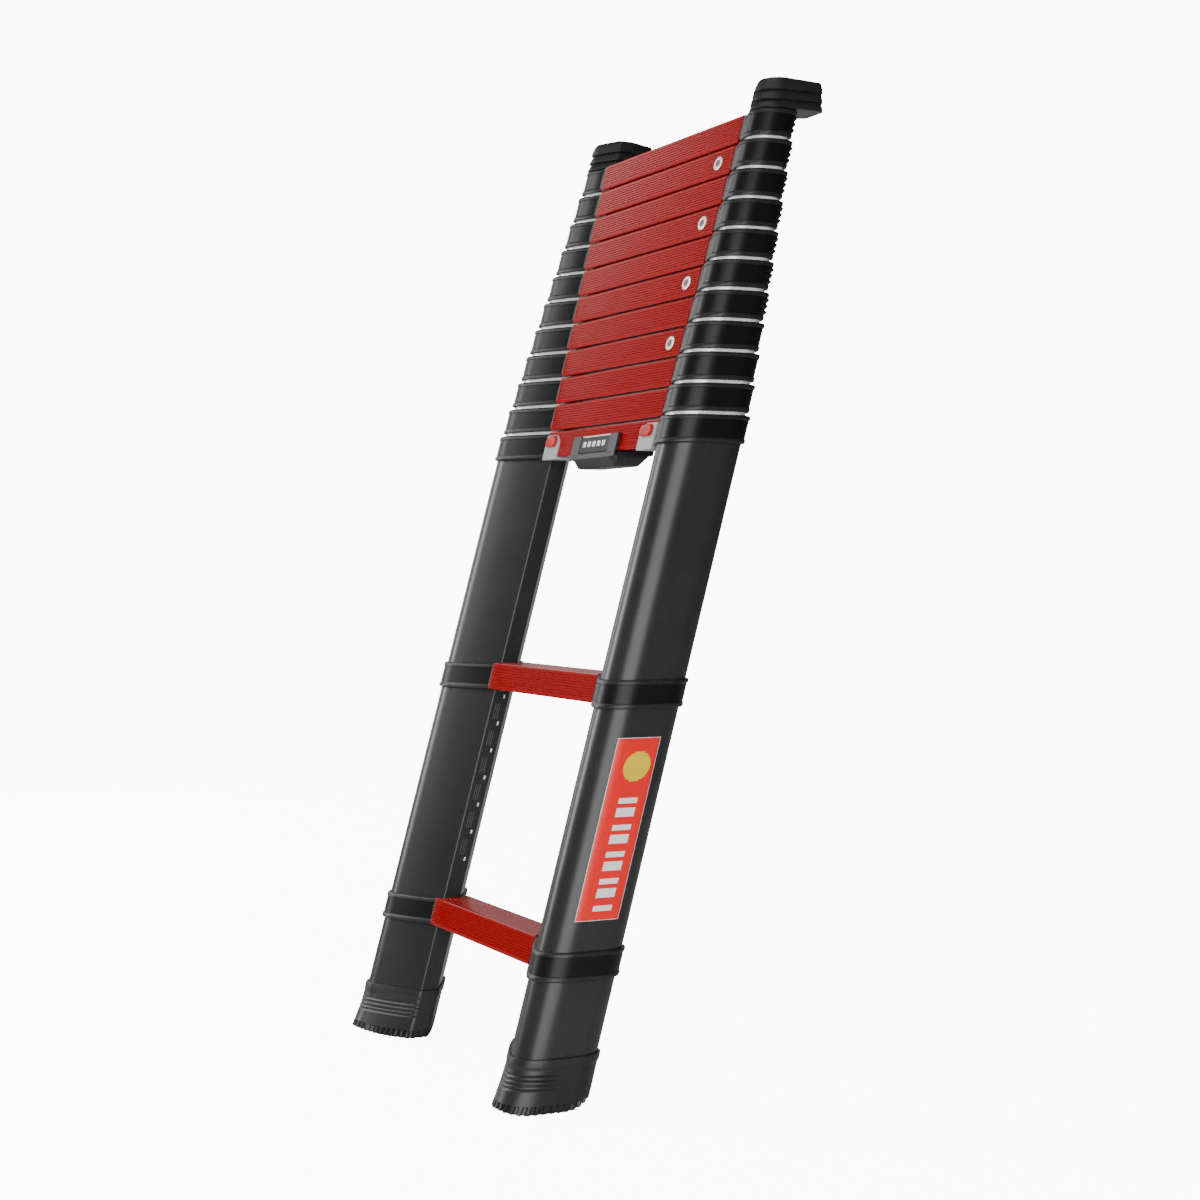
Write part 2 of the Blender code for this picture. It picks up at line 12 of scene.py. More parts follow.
import bmesh
import bpy
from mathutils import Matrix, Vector


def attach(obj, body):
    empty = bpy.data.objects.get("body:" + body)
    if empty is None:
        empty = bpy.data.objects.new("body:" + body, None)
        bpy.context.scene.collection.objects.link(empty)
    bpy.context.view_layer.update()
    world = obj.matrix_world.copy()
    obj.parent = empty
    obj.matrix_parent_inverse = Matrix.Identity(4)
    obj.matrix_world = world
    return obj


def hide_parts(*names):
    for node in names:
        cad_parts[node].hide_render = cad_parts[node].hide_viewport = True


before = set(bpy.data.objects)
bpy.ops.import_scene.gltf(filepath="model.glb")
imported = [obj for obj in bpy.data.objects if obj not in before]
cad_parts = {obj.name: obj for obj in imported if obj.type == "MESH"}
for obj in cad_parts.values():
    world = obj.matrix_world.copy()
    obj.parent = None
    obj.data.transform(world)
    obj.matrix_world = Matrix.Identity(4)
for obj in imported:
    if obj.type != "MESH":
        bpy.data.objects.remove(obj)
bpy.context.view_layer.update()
LOG = logging.getLogger("ladder")

Point = tuple[float, float]
Ring = list[Vector]

LEAN = math.radians(15)
TAN = math.tan(LEAN)
COS = math.cos(LEAN)
FIXED_RUNGS = 3
SLIDING_SECTIONS = 10
GAP = 0.0003
COLLAR_PROUD = 0.0037
RUNG_FRONT = -0.0195
RUNG_BACK = 0.0235
TUBE_SINK = 0.0008


class Side(Enum):
    """The two stiles, by the sign of their place along X."""

    LEFT = -1
    RIGHT = 1

    @property
    def label(self) -> str:
        """Name of this side in node and piece names."""
        return self.name.lower()


class Grain(Enum):
    """Direction that a finish's fine streaks run in."""

    NONE = (1.0, 1.0, 1.0)
    ALONG_STILE = (1.0, 1.0, 0.03)
    ALONG_RUNG = (0.03, 1.0, 1.0)


def shader_node(tree: bpy.types.NodeTree, kind: str, **values: float) -> bpy.types.Node:
    """Adds a shader node to a tree.

    Args:
        tree: The tree.
        kind: The node's type, without its "ShaderNode".
        values: Values of the inputs, with an underscore for each space in a name.

    Returns:
        The node.
    """
    node = tree.nodes.new(f"ShaderNode{kind}")
    for name, value in values.items():
        node.inputs[name.replace("_", " ")].default_value = value
    return node


def split_view(tree: bpy.types.NodeTree, lit: bpy.types.NodeSocket, seen: bpy.types.NodeSocket,
               surface: bpy.types.NodeSocket) -> None:
    """Shows the camera another shader than the one that lights the object.

    Args:
        tree: The node tree.
        lit: The shader that lights the object.
        seen: The shader that the camera sees.
        surface: The input that takes them both.
    """
    mix, path = shader_node(tree, "MixShader"), shader_node(tree, "LightPath")
    tree.links.new(path.outputs["Is Camera Ray"], mix.inputs["Fac"])
    tree.links.new(lit, mix.inputs[1])
    tree.links.new(seen, mix.inputs[2])
    tree.links.new(mix.outputs["Shader"], surface)


@dataclass(frozen=True)
class Finish:
    """A procedural surface with colour drift, uneven gloss and a fine relief."""

    name: str
    colour: tuple[float, float, float]
    roughness: float
    metallic: float = 0.0
    drift: float = 0.12
    gloss_drift: float = 0.05
    grain: Grain = Grain.NONE
    grain_scale: float = 900.0
    relief: float = 0.15
    relief_depth: float = 0.0002
    specular: float = 0.5
    drift_scale: float = 14.0

    def material(self) -> bpy.types.Material:
        """Builds the finish's material once and returns it.

        Returns:
            The material, shared by every piece with this finish.
        """
        own_name = f"{self.name}_finish"
        known = bpy.data.materials.get(own_name)
        if known is not None:
            return known
        material = bpy.data.materials.new(own_name)
        material.use_nodes = True
        tree = material.node_tree
        shader = tree.nodes["Principled BSDF"]
        shader.inputs["Metallic"].default_value = self.metallic
        shader.inputs["Specular IOR Level"].default_value = self.specular
        place = shader_node(tree, "TexCoord")
        turn = shader_node(tree, "Mapping", Rotation=(LEAN, 0.0, 0.0), Scale=self.grain.value)
        broad = shader_node(tree, "TexNoise", Scale=self.drift_scale, Detail=4.0)
        fine = shader_node(tree, "TexNoise", Scale=self.grain_scale, Detail=3.0)
        tone = shader_node(tree, "ValToRGB")
        for element, position, drift in zip(tone.color_ramp.elements, (0.3, 0.7),
                                            (-self.drift, self.drift)):
            element.position = position
            element.color = (*[min(part * (1.0 + drift), 1.0) for part in self.colour], 1.0)
        gloss = shader_node(tree, "MapRange", To_Min=self.roughness - self.gloss_drift,
                            To_Max=self.roughness + self.gloss_drift)
        relief = shader_node(tree, "Bump", Strength=self.relief, Distance=self.relief_depth)
        for source, output, target, entry in (
                (place, "Object", turn, "Vector"), (place, "Object", broad, "Vector"),
                (turn, "Vector", fine, "Vector"), (broad, "Fac", tone, "Fac"),
                (tone, "Color", shader, "Base Color"), (fine, "Fac", gloss, "Value"),
                (gloss, "Result", shader, "Roughness"), (fine, "Fac", relief, "Height"),
                (relief, "Normal", shader, "Normal")):
            tree.links.new(source.outputs[output], target.inputs[entry])
        return material


BLACK_ANODISED = Finish("black_anodised", (0.022, 0.022, 0.023), 0.32, drift=0.12,
                        gloss_drift=0.02, grain=Grain.ALONG_STILE, relief=0.03, specular=0.38)
SILVER_TUBE = Finish("silver_tube", (0.92, 0.93, 0.94), 0.30, metallic=0.25, drift=0.04,
                     gloss_drift=0.05, grain=Grain.ALONG_STILE, relief=0.05)
BLACK_PLASTIC = Finish("black_plastic", (0.012, 0.012, 0.0125), 0.42, gloss_drift=0.05,
                       grain_scale=1400.0, relief=0.25, relief_depth=0.0001, specular=0.42)
BLACK_PANEL = Finish("black_panel", (0.004, 0.004, 0.0042), 0.38, gloss_drift=0.03,
                     grain_scale=1400.0, relief=0.10, relief_depth=0.0001, specular=0.24)
RED_ANODISED = Finish("red_anodised", (0.33, 0.002, 0.0026), 0.20, drift=0.02,
                      gloss_drift=0.01, grain=Grain.ALONG_RUNG, relief=0.01, specular=0.14)
GREY_PLUG = Finish("grey_plug", (0.028, 0.034, 0.031), 0.34, drift=0.25, grain_scale=1200.0,
                   relief=0.2, relief_depth=0.0001)
GREY_CASTING = Finish("grey_casting", (0.36, 0.385, 0.385), 0.40, drift=0.08,
                      grain_scale=1200.0, relief=0.3, relief_depth=0.0001)
RED_PLASTIC = Finish("red_plastic", (0.52, 0.004, 0.005), 0.30, drift=0.06, grain_scale=1200.0,
                     relief=0.15, relief_depth=0.0001, specular=0.3)
BLACK_RUBBER = Finish("black_rubber", (0.013, 0.013, 0.0135), 0.42, drift=0.2,
                      gloss_drift=0.06, grain_scale=900.0, relief=0.3, relief_depth=0.0001,
                      specular=0.50)
STEEL = Finish("turned_steel", (0.55, 0.55, 0.56), 0.28, metallic=1.0, grain_scale=1500.0)
LABEL_RED = Finish("label_red", (0.80, 0.010, 0.010), 0.34, drift=0.03, relief=0.03)
LABEL_WHITE = Finish("label_white", (0.86, 0.86, 0.84), 0.34, drift=0.03, relief=0.03)
LABEL_GREY = Finish("label_grey", (0.085, 0.085, 0.085), 0.40, drift=0.1, relief=0.03)
LABEL_YELLOW = Finish("label_yellow", (0.80, 0.55, 0.02), 0.34, drift=0.04, relief=0.03)
LABEL_BLACK = Finish("label_black", (0.004, 0.004, 0.0045), 0.40, drift=0.05, relief=0.03,
                     specular=0.2)
BADGE_METAL = Finish("badge_metal", (0.85, 0.84, 0.82), 0.28, metallic=0.6, drift=0.04,
                     grain_scale=1800.0, relief=0.15)
BADGE_INK = Finish("badge_ink", (0.10, 0.03, 0.03), 0.40, drift=0.1)
PALE_FLOOR = Finish("pale_floor", (0.86, 0.86, 0.86), 0.55, drift=0.01, grain_scale=60.0,
                    relief=0.02)


def rounded(corners: list[tuple[float, float, float]], facets: int) -> list[Point]:
    """Traces a closed outline whose corners are turned into arcs.

    Args:
        corners: Each corner as (x, y, radius).
        facets: Number of facets in each arc.

    Returns:
        The outline's points, in order.
    """
    outline: list[Point] = []
    for index, (x, y, radius) in enumerate(corners):
        corner = Vector((x, y))
        before = (Vector(corners[index - 1][:2]) - corner).normalized()
        after = (Vector(corners[(index + 1) % len(corners)][:2]) - corner).normalized()
        half = before.angle(after) / 2
        middle = corner + (before + after).normalized() * (radius / math.sin(half))
        start = corner + before * (radius / math.tan(half)) - middle
        sweep = math.pi - 2 * half
        turn = sweep if start.y * before.x - start.x * before.y > 0 else -sweep
        for facet in range(facets + 1):
            angle = turn * facet / facets
            cos, sin = math.cos(angle), math.sin(angle)
            outline.append((middle.x + start.x * cos - start.y * sin,
                            middle.y + start.x * sin + start.y * cos))
    return outline


def rectangle(low: Point, high: Point, radius: float, facets: int) -> list[Point]:
    """Rectangle between two opposite corners, with all four rounded."""
    return rounded([(*low, radius), (high[0], low[1], radius), (*high, radius),
                    (low[0], high[1], radius)], facets)


def leant(x: float, depth: float, z: float) -> Vector:
    """Point at a depth from the stiles' middle plane, which leans back as it rises."""
    return Vector((x, depth + z * TAN, z))


def mesh_of(work: bmesh.types.BMesh, name: str) -> bpy.types.Mesh:
    """Writes edited geometry into a new mesh.

    Args:
        work: The geometry, which is freed.
        name: Name of the mesh.

    Returns:
        The new mesh.
    """
    mesh = bpy.data.meshes.new(name)
    work.to_mesh(mesh)
    work.free()
    return mesh


def direction(azimuth: float, elevation: float) -> Vector:
    """Unit vector at degrees from +X towards +Y and degrees above the level."""
    turn, rise = math.radians(azimuth), math.radians(elevation)
    return Vector((math.cos(turn) * math.cos(rise), math.sin(turn) * math.cos(rise),
                   math.sin(rise)))


def aimed(name: str, data: bpy.types.ID, place: Vector, aim: Vector) -> bpy.types.Object:
    """Links a lamp or camera to the scene, turned along a direction.

    Args:
        name: Its name.
        data: Its settings.
        place: Where it stands.
        aim: The direction that it faces.

    Returns:
        The object.
    """
    thing = bpy.data.objects.new(name, data)
    thing.location = place
    thing.rotation_mode = "QUATERNION"
    thing.rotation_quaternion = aim.to_track_quat("-Z", "Y")
    bpy.context.scene.collection.objects.link(thing)
    return thing


def smoothstep(low: float, high: float, value: float) -> float:
    """Rises smoothly from 0 at low to 1 at high."""
    share = min(max((value - low) / (high - low), 0.0), 1.0)
    return share * share * (3.0 - 2.0 * share)


def finished(mesh: bpy.types.Mesh, name: str, finish: Finish, body: str,
             sharp: float = 35.0) -> bpy.types.Object:
    """Turns a mesh into a piece that rides on a body.

    Args:
        mesh: The piece's mesh, in the part's frame.
        name: The piece's name.
        finish: Its surface.
        body: The body that it moves with.
        sharp: Edges over this many degrees stay sharp.

    Returns:
        The piece, linked to the scene.
    """
    mesh.name = name
    mesh.materials.clear()
    mesh.materials.append(finish.material())
    mesh.shade_smooth()
    mesh.set_sharp_from_angle(angle=math.radians(sharp))
    piece = bpy.data.objects.new(name, mesh)
    bpy.context.scene.collection.objects.link(piece)
    weighted = piece.modifiers.new("even_normals", "WEIGHTED_NORMAL")
    weighted.keep_sharp = True
    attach(piece, body)
    return piece


def loft(name: str, rings: list[Ring], wrap: bool = False, caps: bool = False) -> bpy.types.Mesh:
    """Joins rings of equal length with quads.

    Args:
        name: Name of the mesh.
        rings: The rings, each a closed loop of points.
        wrap: Whether the last ring joins the first, as on a tube with a wall.
        caps: Whether the first and last rings are closed with a face.

    Returns:
        The mesh, with its faces turned outwards.
    """
    work = bmesh.new()
    made = [[work.verts.new(point) for point in ring] for ring in rings]
    pairs = list(zip(made, made[1:])) + ([(made[-1], made[0])] if wrap else [])
    for lower, upper in pairs:
        for index in range(len(lower)):
            after = (index + 1) % len(lower)
            work.faces.new((lower[index], lower[after], upper[after], upper[index]))
    if caps:
        work.faces.new(made[0])
        work.faces.new(made[-1])
    bmesh.ops.recalc_face_normals(work, faces=work.faces)
    return mesh_of(work, name)


def joined(name: str, meshes: list[bpy.types.Mesh]) -> bpy.types.Mesh:
    """Puts several meshes into one.

    Args:
        name: Name of the whole.
        meshes: The meshes, which are removed.

    Returns:
        The whole.
    """
    work = bmesh.new()
    for mesh in meshes:
        work.from_mesh(mesh)
        bpy.data.meshes.remove(mesh)
    return mesh_of(work, name)


def softened(mesh: bpy.types.Mesh, width: float, segments: int = 2) -> bpy.types.Mesh:
    """Rounds a mesh's sharp edges.

    Args:
        mesh: The mesh, which is changed.
        width: How far the rounding reaches from an edge.
        segments: Facets across it.

    Returns:
        The same mesh.
    """
    work = bmesh.new()
    work.from_mesh(mesh)
    edges = [edge for edge in work.edges
             if len(edge.link_faces) == 2 and edge.calc_face_angle(0.0) > math.radians(30)]
    bmesh.ops.bevel(work, geom=edges, offset=width, segments=segments, profile=0.5,
                    affect="EDGES", clamp_overlap=True)
    work.to_mesh(mesh)
    work.free()
    return mesh


@dataclass(frozen=True)
class StileShape:
    """Nested outlines of the stile tubes, seen along the stile."""

    nose_x: float = 0.148
    outer_x: float = 0.2591
    nose_half: float = 0.0104
    side_slope: float = math.radians(26.1)
    nose_radius: float = 0.003
    outer_radius: float = 0.030
    wall: float = 0.0011
    nose_play: float = 0.0019
    outer_play: float = 0.0013
    side_play: float = 0.00045
    radius_step: float = 0.001
    crown: float = 0.0016
    crown_steps: int = 8

    def nose(self, section: int, grow: float = 0.0) -> float:
        """Place of the narrow inner face."""
        return self.nose_x + section * (self.wall + self.nose_play) - grow

    def outer(self, section: int, grow: float = 0.0) -> float:
        """Place of the wide outer face."""
        return self.outer_x - section * (self.wall + self.outer_play) + grow

    def half(self, section: int, x: float, grow: float = 0.0) -> float:
        """Half the depth at x, before the corners are rounded."""
        inset = section * (self.wall + self.side_play) - grow
        return (self.nose_half + (x - self.nose_x) * math.tan(self.side_slope)
                - inset / math.cos(self.side_slope))

    def side_x(self, section: int, half: float, grow: float = 0.0) -> float:
        """Finds where the sloping side lies.

        Args:
            section: The tube section.
            half: Distance from the stile's middle plane.
            grow: How far outside the tube's surface.

        Returns:
            The place along X, or the nose's where that is nearer.
        """
        nose = self.nose(section, grow)
        reach = half - self.half(section, nose, grow)
        return nose + max(reach, 0.0) / math.tan(self.side_slope)

    def corner_radius(self, section: int) -> float:
        """Radius of a tube's two outer corners."""
        return self.outer_radius - section * self.radius_step

    def collar_x(self, section: int, depth: float, clear: float) -> float:
        """Place of a collar's side at a depth in the level plane, with a clearance outside it."""
        return self.side_x(section, abs(depth) * COS, COLLAR_PROUD + clear)

    def outline(self, section: int, grow: float = 0.0, facets: int = 14) -> list[Point]:
        """Traces a tube's outline.

        Args:
            section: 0 for the outer tube, then 1 for the section inside it, and so on.
            grow: How far the outline lies outside the tube's surface.
            facets: Facets of each outer corner; the nose corners have as many.

        Returns:
            The outline's points as (x, depth), for the right-hand stile.
        """
        inner, outer = self.nose(section, grow), self.outer(section, grow)
        nose_half, outer_half = self.half(section, inner, grow), self.half(section, outer, grow)
        nose_radius = max(self.nose_radius + grow, GAP)
        outer_radius = self.corner_radius(section) + grow
        return self.crowned(rounded([
            (inner, -nose_half, nose_radius),
            (outer, -outer_half, outer_radius),
            (outer, outer_half, outer_radius),
            (inner, nose_half, nose_radius),
        ], facets), inner, outer, outer_radius)

    def crowned(self, outline: list[Point], inner: float, outer: float,
                outer_radius: float) -> list[Point]:
        """Adds points to the two sloping flanks and swells them slightly.

        Args:
            outline: The outline with straight flanks.
            inner: Place of the nose face.
            outer: Place of the outer face.
            outer_radius: Radius of the outer corners.

        Returns:
            The outline with its flanks crowned.
        """
        full: list[Point] = []
        for index, (x, depth) in enumerate(outline):
            full.append((x, depth))
            after_x, after_depth = outline[(index + 1) % len(outline)]
            if abs(after_x - x) > 0.3 * (outer - inner - outer_radius):
                for step in range(1, self.crown_steps):
                    share = step / self.crown_steps
                    swell = self.crown * 4 * share * (1 - share)
                    middle = depth + (after_depth - depth) * share
                    lift = math.copysign(swell, middle)
                    full.append((x + (after_x - x) * share - abs(lift) * math.sin(self.side_slope),
                                 middle + lift * math.cos(self.side_slope)))
        return full


SHAPE = StileShape()


def level_ring(side: Side, outline: list[Point], z: float) -> Ring:
    """Sets an outline seen along the stile into the level plane at a height."""
    return [leant(side.value * x, depth / COS, z) for x, depth in outline]


@dataclass(frozen=True)
class Heights:
    """Heights of the closed ladder's levels above the ground."""

    spacing: float = 0.300 * COS
    pitch: float = 0.036 * COS
    first_tread: float = 0.171
    rung_height: float = 0.0325
    collar_height: float = 0.031
    collar_drop: float = 0.0015
    tube_length: float = 0.370 * COS
    tube_foot: float = 0.014

    def tread(self, rung: int) -> float:
        """Height of a rung's tread; rungs count from 1 at the bottom."""
        return (self.first_tread + (min(rung, FIXED_RUNGS) - 1) * self.spacing
                + max(rung - FIXED_RUNGS, 0) * self.pitch)

    def collar(self, rung: int) -> tuple[float, float]:
        """Bottom and top of the collars at a rung."""
        top = self.tread(rung) - self.collar_drop
        return top - self.collar_height, top


LEVELS = Heights()


def body_of_rung(rung: int) -> str:
    """The body that a rung and its collars ride on."""
    return "base" if rung <= FIXED_RUNGS else f"section_{rung:02d}"


def section_of_rung(rung: int) -> int:
    """The tube section that a rung's collars sit on."""
    return max(rung - FIXED_RUNGS, 0)


@dataclass
class StileTube:
    """Extruded stile tube with a real wall."""

    side: Side
    rung: int
    low: float
    high: float
    chamfer: float = 0.0003

    def mesh(self) -> bpy.types.Mesh:
        """Builds the tube, with its edges broken at both ends.

        Returns:
            The tube's mesh.
        """
        section = section_of_rung(self.rung)
        levels = [(self.low, -self.chamfer), (self.low + self.chamfer, 0.0),
                  (self.high - self.chamfer, 0.0), (self.high, -self.chamfer),
                  (self.high, -SHAPE.wall), (self.low, -SHAPE.wall)]
        rings = [level_ring(self.side, SHAPE.outline(section, grow), z) for z, grow in levels]
        return loft("tube", rings, wrap=True)

    def build(self) -> None:
        """Adds the tube to the scene."""
        outer = self.rung == FIXED_RUNGS
        node = (f"stile_tube_{self.side.label}" if outer
                else f"stile_{self.rung:02d}_{self.side.label}")
        name = f"tube_{self.rung:02d}_{self.side.label}"
        finish = BLACK_ANODISED if outer else SILVER_TUBE
        piece = finished(self.mesh(), name, finish, body_of_rung(self.rung))
        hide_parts(node)


@dataclass
class Collar:
    """Moulded collar with raised lips, a recessed band and grip teeth on its back corner."""

    side: Side
    rung: int
    proud: float = COLLAR_PROUD
    edge: float = 0.0012
    lip: float = 0.0052
    recess: float = 0.0010
    tooth: float = 0.0021
    teeth: int = 3
    first_toothed: int = 7
    mouth: float = 0.0012
    seat: float = 0.0004
    facets: int = 12

    def profile(self) -> list[tuple[float, float, float]]:
        """Levels of the outer face.

        Returns:
            For each level its height above the collar's foot, how far it stands out, and how
            strongly the teeth show there.
        """
        height, edge, lip = LEVELS.collar_height, self.edge, self.lip
        deep = self.proud - self.recess
        rows = [(0.0, self.proud - edge, 0.0), (0.3 * edge, self.proud - 0.35 * edge, 0.0),
                (edge, self.proud, 0.0), (lip - 0.6 * edge, self.proud, 0.0),
                (lip, deep, 0.0)]
        span = height - 2 * lip
        for tooth in range(self.teeth):
            base = lip + span * (tooth + 0.1) / self.teeth
            step = span / self.teeth
            rows += [(base, deep, 0.0), (base + 0.40 * step, deep, 1.0),
                     (base + 0.62 * step, deep, 1.0), (base + 0.80 * step, deep, 0.0)]
        rows += [(height - lip, deep, 0.0), (height - lip + 0.6 * edge, self.proud, 0.0),
                 (height - 1.8 * edge, self.proud, 0.0),
                 (height - 0.55 * edge, self.proud - 0.45 * edge, 0.0),
                 (height, self.proud - 1.6 * edge, 0.0)]
        return rows

    def mesh(self) -> bpy.types.Mesh:
        """Builds the collar as a ring around its tube.

        Returns:
            The collar's mesh.
        """
        section = section_of_rung(self.rung)
        low, high = LEVELS.collar(self.rung)
        rings = []
        toothed = self.rung >= self.first_toothed
        for rise, grow, strength in self.profile():
            outline = SHAPE.outline(section, grow, self.facets)
            if strength and toothed:
                outline = [self.with_tooth(point, strength) for point in outline]
            rings.append(level_ring(self.side, outline, low + rise))
        inner = -SHAPE.wall
        for z, grow in ((high, inner), (high - self.mouth, inner),
                        (high - self.mouth, -self.seat), (low, -self.seat)):
            rings.append(level_ring(self.side, SHAPE.outline(section, grow, self.facets), z))
        return loft("collar", rings, wrap=True)

    def with_tooth(self, point: Point, strength: float) -> Point:
        """Moves a point of the back outer corner out onto a tooth.

        Args:
            point: A point of the collar's outline.
            strength: Share of the tooth's full height at this level.

        Returns:
            The point, moved if it lies on the back outer corner.
        """
        section = section_of_rung(self.rung)
        x, depth = point
        angle = math.atan2(depth, x - SHAPE.outer(section) + SHAPE.corner_radius(section))
        share = smoothstep(0.55, 1.0, angle) * (1.0 - smoothstep(1.9, 2.15, angle))
        reach = self.tooth * strength * share
        return x + math.cos(angle) * reach, depth + math.sin(angle) * reach

    def build(self) -> None:
        """Adds the collar to the scene, with its recessed band in a duller black."""
        name = f"collar_ring_{self.rung:02d}_{self.side.label}"
        node = (f"collar_{self.rung:02d}_{self.side.label}" if self.rung <= FIXED_RUNGS
                else f"stile_{self.rung:02d}_{self.side.label}")
        piece = finished(self.mesh(), name, BLACK_PLASTIC, body_of_rung(self.rung),
                         sharp=50.0)
        piece.data.materials.append(BLACK_PANEL.material())
        deep = self.proud - self.recess
        rows = self.profile()
        around = len(SHAPE.outline(section_of_rung(self.rung), 0.0, self.facets))
        for face in piece.data.polygons:
            row = face.index // around
            if row + 1 < len(rows) and rows[row][1] == deep and rows[row + 1][1] == deep:
                face.material_index = 1
        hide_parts(node)


@dataclass
class Rung:
    """Ribbed hollow extrusion with a level tread, notched around the collars' noses."""

    rung: int
    front: float = RUNG_FRONT
    back: float = RUNG_BACK
    lap: float = 0.003
    wall: float = 0.002
    groove: float = 0.0008
    land: float = 0.60
    flank: float = 0.08
    front_ribs: int = 9
    tread_ribs: int = 12
    first_rib: float = 0.0036

    def rib_row(self, start: Point, end: Point, inward: Point, count: int) -> list[Point]:
        """Points along a straight face that is cut by fine grooves.

        Args:
            start: First point of the face, as (depth, height).
            end: Last point of the face.
            inward: Unit direction into the wall.
            count: Number of lands between grooves.

        Returns:
            The points, both ends included.
        """
        points: list[Point] = []
        land, flank = self.land, self.flank
        for rib in range(count):
            for share, depth in ((0.0, 0.0), (land, 0.0), (land + flank, 1.0), (1 - flank, 1.0)):
                if rib == count - 1 and share > land:
                    continue
                along = (rib + share) / (count - 1 + land)
                points.append((start[0] + (end[0] - start[0]) * along
                               + inward[0] * self.groove * depth,
                               start[1] + (end[1] - start[1]) * along
                               + inward[1] * self.groove * depth))
        return points

    def profile(self) -> list[Point]:
        """Traces the extrusion's outer outline.

        Returns:
            The outline's points, as (depth, height above the rung's foot).
        """
        top = LEVELS.rung_height
        foot = self.first_rib
        outline = [(self.front + 0.0020, 0.0), (self.front + 0.0010, 0.0003),
                   (self.front + 0.0003, 0.0011)]
        outline += self.rib_row((self.front, foot), (self.front, top - 0.0024), (1.0, 0.0),
                                self.front_ribs)
        outline += [(self.front, top - 0.0012), (self.front + 0.0006, top - 0.0003)]
        outline += self.rib_row((self.front + 0.0020, top), (self.back - 0.0020, top),
                                (0.0, -1.0), self.tread_ribs)
        outline += [(self.back - 0.0006, top - 0.0003), (self.back, top - 0.0012)]
        outline += self.rib_row((self.back, top - 0.0024), (self.back, foot), (-1.0, 0.0),
                                self.front_ribs)
        outline += [(self.back - 0.0003, 0.0011), (self.back - 0.0010, 0.0003),
                    (self.back - 0.0020, 0.0)]
        return outline

    def inset(self, outline: list[Point]) -> list[Point]:
        """Moves the outline's points inwards to the inside of the wall.

        Args:
            outline: The outer outline.

        Returns:
            The bore's outline, point for point.
        """
        low, high = self.wall, LEVELS.rung_height - self.wall
        near, far = self.front + self.wall, self.back - self.wall
        return [(min(max(depth, near), far), min(max(rise, low), high))
                for depth, rise in outline]

    def end_x(self, depth: float) -> float:
        """How far the extrusion reaches at a depth, before it meets a collar's nose."""
        section = section_of_rung(self.rung)
        return min(SHAPE.nose(section) + self.lap, SHAPE.collar_x(section, depth, GAP))

    def ring(self, outline: list[Point], sign: int) -> Ring:
        """Sets an outline at one end of the rung."""
        foot = LEVELS.tread(self.rung) - LEVELS.rung_height
        return [leant(sign * self.end_x(depth), depth, foot + rise) for depth, rise in outline]

    def mesh(self) -> bpy.types.Mesh:
        """Builds the hollow extrusion between its two notched ends.

        Returns:
            The extrusion's mesh.
        """
        outer = self.profile()
        inner = self.inset(outer)
        rings = [self.ring(outer, -1), self.ring(outer, 1), self.ring(inner, 1),
                 self.ring(inner, -1)]
        return loft("rung", rings, wrap=True)

    def build(self) -> None:
        """Adds the rung to the scene."""
        name = f"rung_extrusion_{self.rung:02d}"
        piece = finished(self.mesh(), name, RED_ANODISED, body_of_rung(self.rung),
                         sharp=25.0)
        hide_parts(f"rung_{self.rung:02d}")


